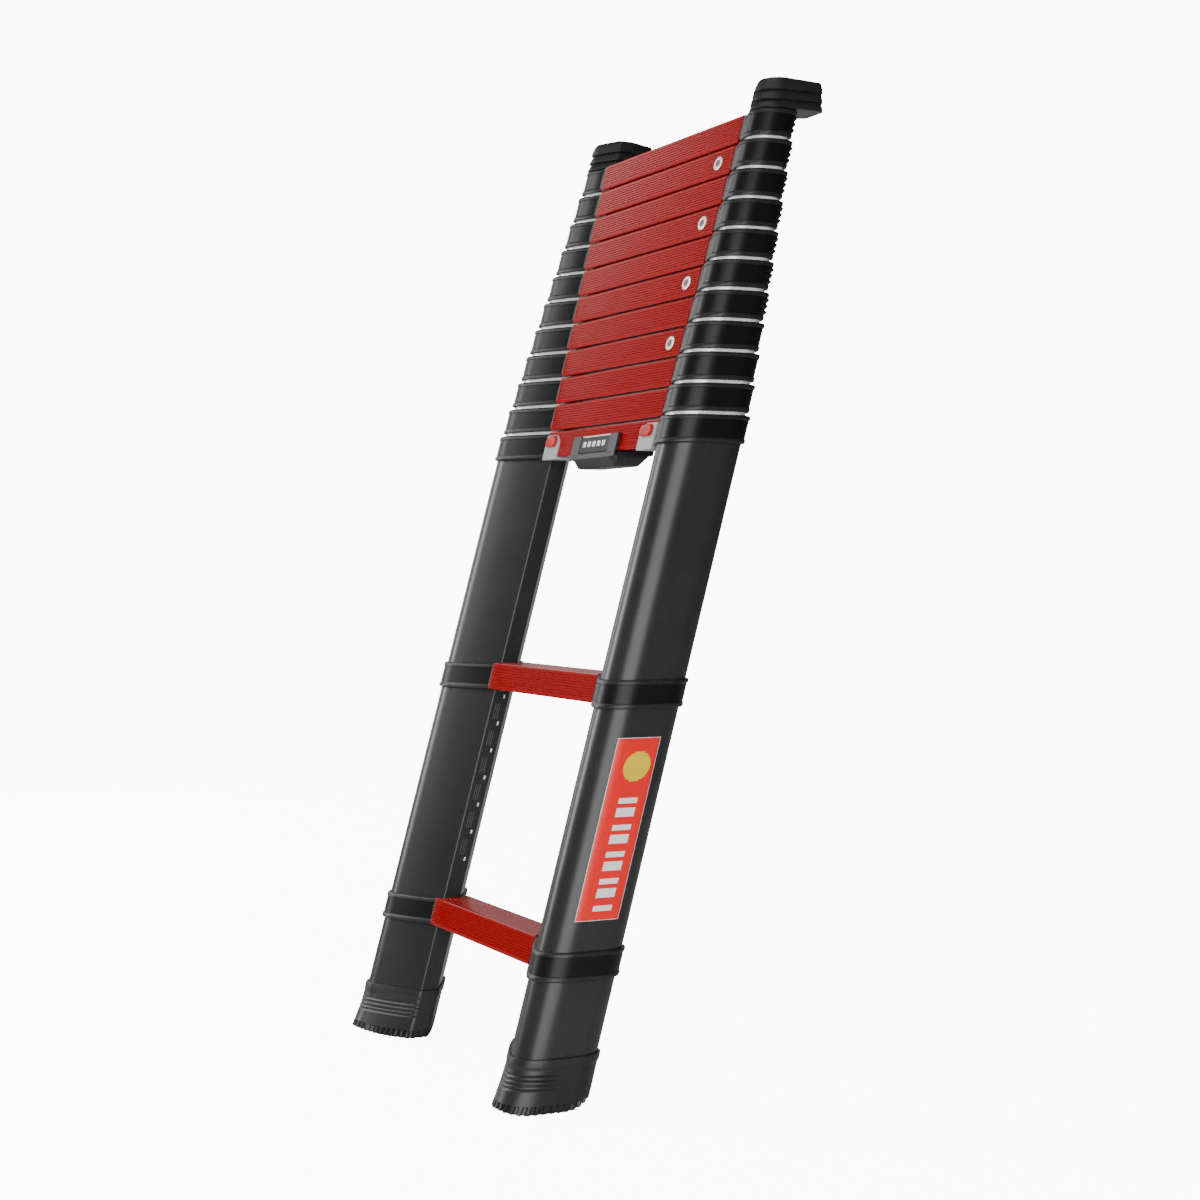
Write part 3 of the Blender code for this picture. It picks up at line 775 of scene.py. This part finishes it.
@dataclass
class EndPlug:
    """Plastic plug that closes a rung's end and bears on the collar's sloping side."""

    side: Side
    rung: int
    inset: float = 0.0009
    lap: float = 0.004
    shortest: float = 0.0005
    clear: float = 0.0002
    upright_steps: int = 6
    level_steps: int = 16

    def closed(self, mesh: bpy.types.Mesh) -> bpy.types.Mesh:
        """Closes both ends with strips that follow the collar from front to back.

        Args:
            mesh: The plug's open sleeve, its two rings one after the other.

        Returns:
            The same mesh with its ends closed.
        """
        work = bmesh.new()
        work.from_mesh(mesh)
        work.verts.ensure_lookup_table()
        sides, levels = self.upright_steps + 1, self.level_steps + 1
        count = 2 * (sides + levels)
        for first in (0, count):
            ring = [work.verts[first + index] for index in range(count)]
            front, top = ring[:sides], ring[sides:sides + levels]
            back = ring[sides + levels:2 * sides + levels]
            foot = ring[2 * sides + levels:][::-1]
            work.faces.new([*front, top[0], foot[0]])
            work.faces.new([*back, foot[-1], top[-1]])
            for step in range(self.level_steps):
                work.faces.new([top[step], top[step + 1], foot[step + 1], foot[step]])
        bmesh.ops.recalc_face_normals(work, faces=work.faces)
        work.to_mesh(mesh)
        work.free()
        return mesh

    def mesh(self) -> bpy.types.Mesh:
        """Builds the plug as the rung's smooth outline, from its end to the collar.

        Returns:
            The plug's mesh.
        """
        section = section_of_rung(self.rung)
        rung = Rung(self.rung)
        foot = LEVELS.tread(self.rung) - LEVELS.rung_height
        near, far = rung.front + self.inset, rung.back - self.inset
        top = LEVELS.rung_height - self.inset
        outline: list[Point] = []
        upright, level = self.upright_steps, self.level_steps
        for start, end, steps in (((near, 0.004), (near, top - 0.001), upright),
                                  ((near + 0.001, top), (far - 0.001, top), level),
                                  ((far, top - 0.001), (far, 0.004), upright),
                                  ((far - 0.004, self.inset), (near + 0.004, self.inset), level)):
            for step in range(steps + 1):
                share = step / steps
                outline.append((start[0] + (end[0] - start[0]) * share,
                                start[1] + (end[1] - start[1]) * share))
        rings = []
        for end in (0.0, 1.0):
            ring = []
            for depth, rise in outline:
                start_x = rung.end_x(depth) - self.lap
                reach = SHAPE.collar_x(section, depth, 0.0) - self.clear
                x = start_x + (max(reach, start_x + self.shortest) - start_x) * end
                ring.append(leant(self.side.value * x, depth, foot + rise))
            rings.append(ring)
        return self.closed(loft("plug", rings))

    def build(self) -> None:
        """Adds the plug to the scene."""
        name = f"rung_plug_{self.rung:02d}_{self.side.label}"
        finished(self.mesh(), name, GREY_PLUG, body_of_rung(self.rung))


@dataclass
class Foot:
    """Rubber boot with a rocker sole, grip grooves at the toe and cleats round its edge."""

    side: Side
    height: float = 0.058
    wall: float = 0.0032
    toe: float = 0.006
    flat_front: float = 0.027
    flat_back: float = 0.008
    toe_rise: float = 0.005
    heel_rise: float = 0.017
    cleats: int = 42
    cleat_steps: int = 6
    notch: float = 0.0024
    even: float = 0.0215
    grooves: int = 4
    first_groove: float = 0.0262
    groove_pitch: float = 0.0047
    groove_width: float = 0.0008
    groove_depth: float = 0.0012
    facets: int = 24

    def outline(self, grow: float) -> list[Point]:
        """Traces the boot's outline with evenly spaced points.

        Args:
            grow: How far it lies outside the tube's surface.

        Returns:
            The outline's points, a fixed number for each cleat.
        """
        points = [Vector(point) for point in SHAPE.outline(0, grow, self.facets)]
        lengths = [0.0]
        for index, point in enumerate(points):
            after = points[(index + 1) % len(points)]
            lengths.append(lengths[-1] + (after - point).length)
        count = self.cleats * self.cleat_steps
        even: list[Point] = []
        index = 0
        for step in range(count):
            target = lengths[-1] * step / count
            while lengths[index + 1] < target:
                index += 1
            span = max(lengths[index + 1] - lengths[index], 1e-9)
            share = (target - lengths[index]) / span
            point = points[index].lerp(points[(index + 1) % len(points)], share)
            even.append((point.x, point.y))
        return even

    def levels(self) -> list[tuple[float, float]]:
        """Levels of the boot's skin.

        Returns:
            For each level its share of the way from the sole up to the lowest even level, and
            the even height where that share is 1.
        """
        rows = [(share, self.even) for share in (0.0, 0.04, 0.12, 0.2, 0.3, 0.38, 0.44, 0.6, 0.8)]
        rows += [(1.0, self.even + 0.0007 * step) for step in range(0, 32)]
        rows += [(1.0, z) for z in (0.0455, 0.0470, 0.0485, 0.0500, 0.0540, 0.0565, 0.0573,
                                    0.0578, self.height)]
        return rows

    def sole(self, y: float) -> float:
        """Shapes the rocker sole.

        Args:
            y: Place along the sole, from the stile's middle towards the heel.

        Returns:
            The sole's height above the ground there.
        """
        if y < 0:
            reach = self.half_length + self.toe - self.flat_front
            return self.toe_rise * (max(-y - self.flat_front, 0.0) / reach) ** 2
        reach = self.half_length - self.flat_back
        return self.heel_rise * (max(y - self.flat_back, 0.0) / reach) ** 2

    @property
    def half_length(self) -> float:
        """Half the sole's length, without the toe."""
        return max(depth for _, depth in SHAPE.outline(0, self.wall, self.facets)) / COS

    def grooved(self, rise: float, depth: float) -> float:
        """Works out the grip grooves, which fade out behind the toe.

        Args:
            rise: Height above the ground.
            depth: Depth from the stile's middle plane.

        Returns:
            How far the skin sinks there.
        """
        front = 1.0 - smoothstep(-0.020, 0.006, depth)
        total = 0.0
        for groove in range(self.grooves):
            centre = self.first_groove + groove * self.groove_pitch
            total += math.exp(-((rise - centre) / self.groove_width) ** 2)
        return self.groove_depth * total * front

    def mesh(self) -> bpy.types.Mesh:
        """Builds the boot from its sole to its rim and back down inside.

        Returns:
            The boot's mesh.
        """
        rings = []
        middle = (SHAPE.nose_x + SHAPE.outer_x) / 2
        for share, z_even in self.levels():
            lip = 0.0010 * smoothstep(0.0470, 0.0500, z_even)
            edge = 0.0012 * smoothstep(0.0572, self.height, z_even)
            ring = []
            for index, (x, depth) in enumerate(self.outline(self.wall - 0.0008 + lip - edge)):
                ground = self.sole(depth / COS - self.toe * 0.5)
                z = ground + (self.even - ground) * share if share < 1.0 else z_even
                flare = (1.0 - z / self.height) ** 2
                between = index % self.cleat_steps < self.cleat_steps / 2 and share < 0.42
                sink = self.grooved(z, depth) + (self.notch if between else 0.0)
                out = Vector((x - middle, depth)).normalized() * sink
                x_out = x - out.x + (x - middle) * 0.02 * flare
                y_out = (depth - out.y) / COS
                y_out -= self.toe * flare * smoothstep(0.0, 0.045, -depth)
                ring.append(leant(self.side.value * x_out, y_out, z))
            rings.append(ring)
        for z in (self.height, LEVELS.tube_foot):
            rings.append(level_ring(self.side, self.outline(0.0001), z))
        return loft("foot", rings, caps=True)

    def build(self) -> None:
        """Adds the boot to the scene."""
        piece = finished(self.mesh(), f"rubber_boot_{self.side.label}", BLACK_RUBBER, "base",
                         sharp=40.0)
        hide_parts(f"foot_{self.side.label}")


@dataclass
class WallCap:
    """Stepped cap over a stile's end whose rest reaches back to a plumb wall face."""

    side: Side
    rung: int = FIXED_RUNGS + SLIDING_SECTIONS
    proud: float = 0.0035
    reach: float = 0.050
    height: float = 0.036
    width: float = 0.044
    corner: float = 0.009
    flare: float = 0.0022
    fall: float = 0.0022
    tiers: tuple[float, ...] = (0.0095, 0.0110, 0.0155)

    @property
    def low(self) -> float:
        """Height of the cap's foot."""
        return LEVELS.collar(self.rung)[1] + GAP

    def plan(self, z: float, grow: float) -> Ring:
        """The cap's outline in the level plane at a height.

        Args:
            z: Height of the level.
            grow: How far it stands out from the middle of the cap's ribs.

        Returns:
            The outline's points, in order, always as many.
        """
        section = section_of_rung(self.rung)
        wall = (self.low + self.height / 2) * TAN + self.reach
        outer = SHAPE.outer(section, self.proud + grow)
        inner = outer - self.width - grow
        nose = SHAPE.nose(section, self.proud + grow)
        nose_half = SHAPE.half(section, nose, self.proud + grow)
        outer_half = SHAPE.half(section, outer, self.proud + grow)
        radius = SHAPE.corner_radius(section) + self.proud + grow
        centre = z * TAN
        corners = [
            (nose, centre - nose_half / COS, 0.0045 + grow),
            (outer, centre - outer_half / COS, radius),
            (outer, wall, self.corner),
            (inner, wall, self.corner),
            (nose, centre + nose_half / COS, 0.0045 + grow),
        ]
        fall = self.fall * smoothstep(self.low + 0.55 * self.height, self.low + self.height, z)
        return [Vector((self.side.value * x, y, z - fall * smoothstep(centre, wall, y)))
                for x, y in rounded(corners, 10)]

    def mesh(self) -> bpy.types.Mesh:
        """Builds the cap from its flared tiers, with a softly rounded top.

        Returns:
            The cap's mesh.
        """
        tier_top = ((0.0014, 1.0), (0.0004, 1.5))
        cap_top = ((0.0042, 0.8), (0.0022, 1.1), (0.0009, 1.6), (0.0002, 2.4), (0.0, 3.2))
        foot = self.low
        rings = [self.plan(foot, -0.0012)]
        for index, tier in enumerate(self.tiers):
            last = index == len(self.tiers) - 1
            rings += [self.plan(foot + 0.0010, 0.0), self.plan(foot + 0.0022, 0.0),
                      self.plan(foot + tier * 0.60, -self.flare * 0.55)]
            foot += tier
            rings += [self.plan(foot - drop, -self.flare * share)
                      for drop, share in (cap_top if last else tier_top)]
        return loft("cap", rings, caps=True)

    def build(self) -> None:
        """Adds the cap to the scene."""
        piece = finished(self.mesh(), f"end_cap_{self.side.label}", BLACK_PLASTIC,
                         body_of_rung(self.rung), sharp=40.0)
        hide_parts(f"wall_cap_{self.side.label}")


def slab(outline: list[Point], front: float, back: float) -> bpy.types.Mesh:
    """Leaning plate whose outline, as (x, height), is seen from the front."""
    rings = [[leant(x, depth, z) for x, z in outline] for depth in (front, back)]
    return loft("slab", rings, caps=True)


@dataclass
class EndCasting:
    """Arched casting at the lowest stacked rung's end, with its sprung thumb button."""

    side: Side
    length: float = 0.040
    drop: float = 0.003
    top_gap: float = 0.004
    lap: float = 0.005
    front: float = -0.0215
    back: float = RUNG_BACK
    radius: float = 0.002
    arch: float = 0.5
    button_half: float = 0.014
    button_rise: float = 0.007
    button_drop: float = 0.0125
    button_inset: float = 0.0195
    button_rounding: float = 0.96

    @property
    def inner(self) -> float:
        """Place of the casting's inner end."""
        return SHAPE.nose(0) + self.lap - self.length

    def frame_outline(self, shrink: float) -> list[Point]:
        """Traces the casting's face, arched at its inner upper corner.

        Args:
            shrink: How far inside the full outline.

        Returns:
            The outline's points, as (x, height).
        """
        low = LEVELS.tread(FIXED_RUNGS) - LEVELS.rung_height - self.drop + shrink
        high = LEVELS.tread(FIXED_RUNGS) - self.top_gap - shrink
        inner, outer = self.inner + shrink, SHAPE.nose(0) + self.lap - shrink
        return [(self.side.value * x, z) for x, z in rounded([
            (inner, low, self.radius), (outer, low, self.radius), (outer, high, self.radius),
            (inner, high, (high - low) * self.arch)], 8)]

    def casting_mesh(self) -> bpy.types.Mesh:
        """Builds the casting's body, cut back around the collar's nose.

        Returns:
            The casting's mesh.
        """
        edge = 0.0008
        rings = []
        for depth, shrink in ((self.front, edge), (self.front + edge, 0.0), (self.back, 0.0)):
            limit = SHAPE.collar_x(0, depth, GAP)
            rings.append([leant(math.copysign(min(abs(x), limit), x), depth, z)
                          for x, z in self.frame_outline(shrink)])
        return loft("casting", rings, caps=True)

    def button_mesh(self) -> bpy.types.Mesh:
        """Builds the domed thumb button.

        Returns:
            The button's mesh.
        """
        z = LEVELS.tread(FIXED_RUNGS) - self.button_drop
        middle = self.inner + self.button_inset
        rings = []
        for shrink, lift in ((0.0, 0.0), (0.0, 0.0018), (0.0006, 0.0030), (0.0020, 0.0037),
                             (0.0042, 0.0040)):
            half, rise = self.button_half - shrink, self.button_rise - shrink
            outline = rectangle((middle - half, z - rise), (middle + half, z + rise),
                                rise * self.button_rounding, 8)
            rings.append([leant(self.side.value * x, self.front - GAP - lift, height)
                          for x, height in outline])
        return loft("button", rings, caps=True)

    def build(self) -> None:
        """Adds the casting and its button to the scene."""
        label = self.side.label
        casting = finished(self.casting_mesh(), f"rung_casting_{label}", GREY_CASTING, "base")
        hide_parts(f"end_casting_{label}")
        button = finished(self.button_mesh(), f"thumb_button_{label}", RED_PLASTIC,
                          f"release_{label}", sharp=50.0)
        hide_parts(f"release_button_{label}")


@dataclass
class CarryGrip:
    """Moulded grip under the lowest stacked rung, with two arms and a blank plate."""

    half: float = 0.062
    depth: float = 0.0185
    chamfer: float = 0.012
    arm: float = 0.022
    rise: float = 0.0215
    lip: float = 0.0045
    front: float = -0.0198
    back: float = 0.0238
    stations: int = 49
    ridge: float = 0.0005
    bars: int = 5
    bar_height: float = 0.0065

    @property
    def foot(self) -> float:
        """Height of the rung's underside."""
        return LEVELS.tread(FIXED_RUNGS) - LEVELS.rung_height

    def hull_mesh(self) -> bpy.types.Mesh:
        """Builds the boat-shaped hull below the rung, with finger ridges underneath.

        Returns:
            The hull's mesh.
        """
        rings = []
        for station in range(self.stations):
            x = -self.half + 2 * self.half * station / (self.stations - 1)
            end = max(abs(x) - (self.half - self.chamfer), 0.0) / self.chamfer
            low = self.foot - self.depth * (1.0 - 0.62 * end ** 1.3)
            if abs(x) < self.half - self.chamfer * 0.6:
                bottom = low + self.ridge * (station % 2)
            else:
                bottom = low
            top = self.foot - GAP
            near, far = self.front - self.lip, self.back + self.lip
            slope = min(self.chamfer, (top - low) * 0.9)
            radius, rim_radius = 0.0025, 0.0008
            corners = [(near + slope * 0.9, bottom, radius), (far - slope * 0.9, bottom, radius),
                       (far, low + slope, radius), (far, top, rim_radius),
                       (near, top, rim_radius), (near, low + slope, radius)]
            rings.append([leant(x, depth, z) for depth, z in rounded(corners, 4)])
        return loft("hull", rings, caps=True)

    def wall_mesh(self, start: float, end: float, front: bool, rise: float,
                  lip: float) -> bpy.types.Mesh:
        """Builds one upright wall of the grip.

        Args:
            start: Left end along X.
            end: Right end along X.
            front: Whether it stands in front of the rung, not behind it.
            rise: Height above the rung's underside.
            lip: Thickness.

        Returns:
            The wall's mesh.
        """
        face = self.front if front else self.back
        away = face - lip if front else face + lip
        low, high = self.foot - 0.006, self.foot + rise
        outline = rounded([(start, low, 0.0004), (end, low, 0.0004), (end, high, 0.003),
                           (start, high, 0.003)], 4)
        return softened(slab(outline, min(face, away), max(face, away)), 0.0008)

    def plate_mesh(self) -> bpy.types.Mesh:
        """Builds the blank plate between the front arms.

        Returns:
            The plate's mesh.
        """
        half = self.half - self.arm - GAP
        low, high = self.foot + 0.0006, self.foot + self.rise - 0.0022
        outline = rectangle((-half, low), (half, high), 0.001, 3)
        face = self.front - self.lip
        return softened(slab(outline, face + 0.0004, face + 0.0016), 0.0003, 1)

    def bars_mesh(self) -> bpy.types.Mesh:
        """Builds the plate's row of plain bars and the pale line along its top.

        Returns:
            The bars' mesh.
        """
        inner = self.half - self.arm
        face = self.front - self.lip
        bar_half = inner * 0.78
        low = self.foot + self.rise * 0.36
        marks = []
        for index in range(self.bars):
            start = -bar_half + index * bar_half * 0.42
            outline = rectangle((start, low), (start + bar_half * 0.26, low + self.bar_height),
                                0.0006, 2)
            marks.append(slab(outline, face + 0.0003, face + 0.0006))
        left, right = -inner + 0.002, inner - 0.002
        line_low, line_high = self.foot + self.rise - 0.0018, self.foot + self.rise - 0.0004
        rim = [(left, line_low), (right, line_low), (right, line_high), (left, line_high)]
        marks.append(slab(rim, face + 0.0012, self.front - 0.0004))
        return joined("bars", marks)

    def build(self) -> None:
        """Adds the grip, its plate and the plate's bars to the scene."""
        inner = self.half - self.arm
        walls = [self.wall_mesh(-self.half, -inner, True, self.rise, self.lip),
                 self.wall_mesh(inner, self.half, True, self.rise, self.lip),
                 self.wall_mesh(-inner + 0.0002, inner - 0.0002, True, self.rise - 0.0010,
                                self.lip - 0.0018),
                 self.wall_mesh(-self.half, self.half, False, self.rise, self.lip)]
        grip = finished(joined("grip", [self.hull_mesh(), *walls]), "moulded_grip",
                        BLACK_PLASTIC, "base", sharp=40.0)
        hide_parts("carry_grip")
        plate = finished(self.plate_mesh(), "blank_plate", LABEL_BLACK, "base")
        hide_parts("grip_plate")
        finished(self.bars_mesh(), "plate_bars", LABEL_WHITE, "base")


@dataclass
class StilePatch:
    """Thin printed patch that follows the right stile's outer face."""

    side: Side
    lift: float
    column: float = 0.0008
    reach: float = 0.05

    def mesh(self, depths: tuple[float, float], heights: tuple[float, float]) -> bpy.types.Mesh:
        """Builds a patch between two depths and two heights.

        Args:
            depths: Front and back edge, as depths from the stile's middle plane.
            heights: Bottom and top edge above the ground.

        Returns:
            The patch's mesh.
        """
        fine = SHAPE.outline(0, self.lift, 40)
        outer = [point for point in fine if point[0] > SHAPE.nose_x + self.reach]
        outer.sort(key=lambda point: point[1])
        columns = max(int(abs(depths[1] - depths[0]) / self.column), 2)
        row: list[Point] = []
        for column in range(columns + 1):
            depth = (depths[0] + (depths[1] - depths[0]) * column / columns) * COS
            for first, second in zip(outer, outer[1:]):
                if first[1] <= depth <= second[1]:
                    share = (depth - first[1]) / max(second[1] - first[1], 1e-9)
                    row.append((first[0] + (second[0] - first[0]) * share, depth))
                    break
        work = bmesh.new()
        rows = [[work.verts.new(point) for point in level_ring(self.side, row, z)]
                for z in heights]
        for index in range(len(row) - 1):
            work.faces.new((rows[0][index], rows[0][index + 1], rows[1][index + 1],
                            rows[1][index]))
        for face in work.faces:
            face.normal_update()
            if face.normal.x * self.side.value < 0:
                face.normal_flip()
        return mesh_of(work, "patch")


@dataclass
class StileLabel:
    """Generic red label with a pale border and plain bars on the right stile."""

    side: Side = Side.RIGHT
    front: float = -0.028
    back: float = 0.023
    low: float = 0.202
    high: float = 0.397
    border: float = 0.0005
    first_lift: float = 0.00012
    layer: float = 0.00006
    bars: int = 9
    bar_pitch: float = 0.0143
    disc_radius: float = 0.016
    disc_strips: int = 14

    @property
    def width(self) -> float:
        """The label's width round the stile."""
        return self.back - self.front

    def patch(self, layer: int) -> StilePatch:
        """The printed patch of a layer, counted from the stile outwards."""
        return StilePatch(self.side, self.first_lift + layer * self.layer)

    def bars_mesh(self) -> bpy.types.Mesh:
        """Builds the column of plain bars, tall and short in turn.

        Returns:
            The bars' mesh.
        """
        near, far = self.front + self.width * 0.34, self.front + self.width * 0.78
        bars = []
        for index in range(self.bars):
            start = self.low + 0.010 + index * self.bar_pitch
            tall = 0.0096 if index % 2 else 0.0058
            bars.append(self.patch(2).mesh((near, far), (start, start + tall)))
        return joined("bars", bars)

    def disc_mesh(self) -> bpy.types.Mesh:
        """Builds the plain disc above the bars from level strips.

        Returns:
            The disc's mesh.
        """
        centre, middle = self.high - 0.031, self.front + self.width * 0.58
        half_strip = 0.00116
        strips = []
        for index in range(self.disc_strips):
            share = (index + 0.5) / self.disc_strips * 2 - 1
            half = math.sqrt(1 - share * share) * self.disc_radius
            z = centre + share * self.disc_radius
            strips.append(self.patch(2).mesh((middle - half, middle + half),
                                             (z - half_strip, z + half_strip)))
        return joined("disc", strips)

    def build(self) -> None:
        """Adds the label's layers to the scene."""
        edge = self.border
        under = self.patch(0).mesh((self.front, self.back), (self.low, self.high))
        red = self.patch(1).mesh((self.front + edge, self.back - edge),
                                 (self.low + edge, self.high - edge))
        for mesh, name, finish in ((under, "label_border", LABEL_WHITE),
                                   (red, "label_field", LABEL_RED),
                                   (self.bars_mesh(), "label_bars", LABEL_WHITE),
                                   (self.disc_mesh(), "label_spot", LABEL_YELLOW)):
            finished(mesh, name, finish, "base")


@dataclass
class Badge:
    """Small oval badge on a rung's front face."""

    rung: int
    x: float
    half_width: float = 0.0095
    half_height: float = 0.0080
    thickness: float = 0.0010
    facets: int = 40

    def mesh(self, half_width: float, half_height: float, lift: float,
             thickness: float) -> bpy.types.Mesh:
        """Builds one domed oval.

        Args:
            half_width: Half its width.
            half_height: Half its height.
            lift: How far its back stands off the rung's face.
            thickness: How far it domes out from there.

        Returns:
            The oval's mesh.
        """
        centre = LEVELS.tread(self.rung) - LEVELS.rung_height * 0.49
        rings = []
        for shrink, out in ((0.0, 0.0), (0.0, 0.6), (0.06, 0.9), (0.16, 1.0)):
            ring = []
            for step in range(self.facets):
                angle = math.tau * step / self.facets
                x = self.x + math.cos(angle) * half_width * (1 - shrink)
                z = centre + math.sin(angle) * half_height * (1 - shrink)
                ring.append(leant(x, RUNG_FRONT - lift - thickness * out, z))
            rings.append(ring)
        return loft("badge", rings, caps=True)

    def build(self) -> None:
        """Adds the badge's metal oval and its dark centre to the scene."""
        body = body_of_rung(self.rung)
        metal = self.mesh(self.half_width, self.half_height, 0.0, self.thickness)
        finished(metal, f"badge_{self.rung:02d}", BADGE_METAL, body)
        ink = self.mesh(self.half_width * 0.55, self.half_height * 0.52, 0.0009, 0.0003)
        finished(ink, f"badge_centre_{self.rung:02d}", BADGE_INK, body)


@dataclass
class NoseMarks:
    """Sparse ticks and faint plain lines down the inner face of the left stile."""

    side: Side = Side.LEFT
    low: float = 0.215
    pitch: float = 0.0335
    count: int = 7

    def mark(self, depth: float, half: float, low: float, high: float) -> bpy.types.Mesh:
        """Builds one flat mark on the nose face.

        Args:
            depth: Depth of its middle from the stile's middle plane.
            half: Half its width.
            low: Height of its lower edge.
            high: Height of its upper edge.

        Returns:
            The mark's mesh.
        """
        x = self.side.value * (SHAPE.nose(0) - 0.00015)
        corners = [(depth - half, low), (depth + half, low), (depth + half, high),
                   (depth - half, high)]
        work = bmesh.new()
        face = work.faces.new([work.verts.new(leant(x, along, z)) for along, z in corners])
        face.normal_update()
        if face.normal.x * -self.side.value < 0:
            face.normal_flip()
        return mesh_of(work, "mark")

    def build(self) -> None:
        """Adds the marks to the scene."""
        ticks, lines = [], []
        for index in range(self.count):
            z = self.low + self.pitch * index
            ticks.append(self.mark(0.0045, 0.0011, z, z + 0.0045))
            for depth in (-0.0040, -0.0012, 0.0016):
                lines.append(self.mark(depth, 0.0005, z + 0.008, z + 0.027))
        finished(joined("ticks", ticks), "nose_ticks", LABEL_WHITE, "base")
        finished(joined("lines", lines), "nose_lines", LABEL_GREY, "base")


@dataclass
class Studio:
    """Pale floor, soft lights and the camera."""

    eye: tuple[float, float, float] = (2.3587, -0.9449, 0.5874)
    heading: float = 25.478
    dip: float = 1.014
    lens: float = 65.115
    backdrop: float = 11.0
    fill: float = 0.06
    floor_half: float = 30.0
    floor_drop: float = 0.0002
    middle: tuple[float, float, float] = (0.05, 0.12, 0.55)

    def floor(self) -> None:
        """Lays the floor."""
        work = bmesh.new()
        bmesh.ops.create_grid(work, x_segments=24, y_segments=24, size=self.floor_half)
        mesh = mesh_of(work, "floor")
        mesh.materials.append(self.floor_material())
        floor = bpy.data.objects.new("floor", mesh)
        floor.location = (0.0, 0.0, -self.floor_drop)
        bpy.context.scene.collection.objects.link(floor)

    def floor_material(self) -> bpy.types.Material:
        """Gives the pale floor the backdrop's brightness, so that the two meet without an edge.

        Returns:
            The floor's material.
        """
        material = PALE_FLOOR.material()
        tree = material.node_tree
        glow = shader_node(tree, "Emission", Strength=self.backdrop)
        both = shader_node(tree, "AddShader")
        plain = tree.nodes["Principled BSDF"].outputs["BSDF"]
        tree.links.new(plain, both.inputs[0])
        tree.links.new(glow.outputs["Emission"], both.inputs[1])
        split_view(tree, plain, both.outputs["Shader"],
                   tree.nodes["Material Output"].inputs["Surface"])
        return material

    def light(self, name: str, azimuth: float, elevation: float, distance: float,
              size: tuple[float, float], radiance: float) -> None:
        """Hangs one soft box that faces the ladder.

        Args:
            name: The lamp's name.
            azimuth: Direction from the ladder in degrees, from +X towards +Y.
            elevation: Degrees above the level.
            distance: Metres from the ladder's middle.
            size: Width and height of the box.
            radiance: Brightness of its face.
        """
        data = bpy.data.lights.new(name, "AREA")
        data.shape = "RECTANGLE"
        data.size, data.size_y = size
        data.energy = radiance * math.pi * size[0] * size[1]
        away = distance * direction(azimuth, elevation)
        lamp = aimed(name, data, Vector(self.middle) + away, -away)
        lamp.visible_camera = False

    def camera(self) -> None:
        """Sets up the camera and makes it the scene's."""
        data = bpy.data.cameras.new("camera")
        data.lens = self.lens
        data.sensor_width = 36.0
        data.clip_start, data.clip_end = 0.05, 200.0
        look = direction(180.0 - self.heading, -self.dip)
        bpy.context.scene.camera = aimed("camera", data, Vector(self.eye), look)

    def world(self) -> None:
        """Sets a bright backdrop that lights the object less than it shows."""
        world = bpy.data.worlds.new("studio")
        world.use_nodes = True
        bpy.context.scene.world = world
        tree = world.node_tree
        seen = tree.nodes["Background"]
        seen.inputs["Color"].default_value = (1.0, 1.0, 1.0, 1.0)
        seen.inputs["Strength"].default_value = self.backdrop
        lit = shader_node(tree, "Background", Color=(0.96, 0.98, 1.0, 1.0), Strength=self.fill)
        split_view(tree, lit.outputs["Background"], seen.outputs["Background"],
                   tree.nodes["World Output"].inputs["Surface"])

    def build(self) -> None:
        """Sets up the whole studio."""
        self.world()
        self.floor()
        self.light("key_box", -29.0, 8.0, 3.4, (3.0, 2.5), 6.0)
        self.light("flank_box", -137.0, 20.0, 3.0, (0.6, 2.2), 15.0)
        self.light("rung_box", -175.0, 15.0, 3.2, (1.1, 2.2), 2.4)
        self.light("back_box", 150.0, 8.0, 3.6, (4.0, 2.2), 0.5)
        self.light("top_box", -60.0, 74.0, 3.2, (2.6, 2.6), 1.2)
        self.camera()


def main() -> None:
    """Builds the ladder's pieces in order, then the studio."""
    logging.basicConfig(level=logging.INFO, format="%(name)s: %(message)s")
    for side in Side:
        Foot(side).build()
        high = LEVELS.collar(FIXED_RUNGS)[1] - TUBE_SINK
        StileTube(side, FIXED_RUNGS, LEVELS.tube_foot, high).build()
        EndCasting(side).build()
        WallCap(side).build()
        LOG.info("%s stile: boot, outer tube, casting, button and cap", side.label)
    for rung in range(1, FIXED_RUNGS + SLIDING_SECTIONS + 1):
        Rung(rung).build()
        for side in Side:
            Collar(side, rung).build()
            if rung != FIXED_RUNGS:
                EndPlug(side, rung).build()
            if rung > FIXED_RUNGS:
                high = LEVELS.collar(rung)[1] - TUBE_SINK
                StileTube(side, rung, high - LEVELS.tube_length, high).build()
        LOG.info("rung %02d with its collars", rung)
    CarryGrip().build()
    StileLabel().build()
    NoseMarks().build()
    for rung, x in ((12, 0.146), (10, 0.142), (8, 0.138), (6, 0.133)):
        Badge(rung, x).build()
    LOG.info("grip, label, marks and badges")
    for side in Side:
        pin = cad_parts[f"lock_pin_{side.label}"]
        pin.data.materials.clear()
        pin.data.materials.append(STEEL.material())
    Studio().build()


if __name__ == "__main__":
    main()
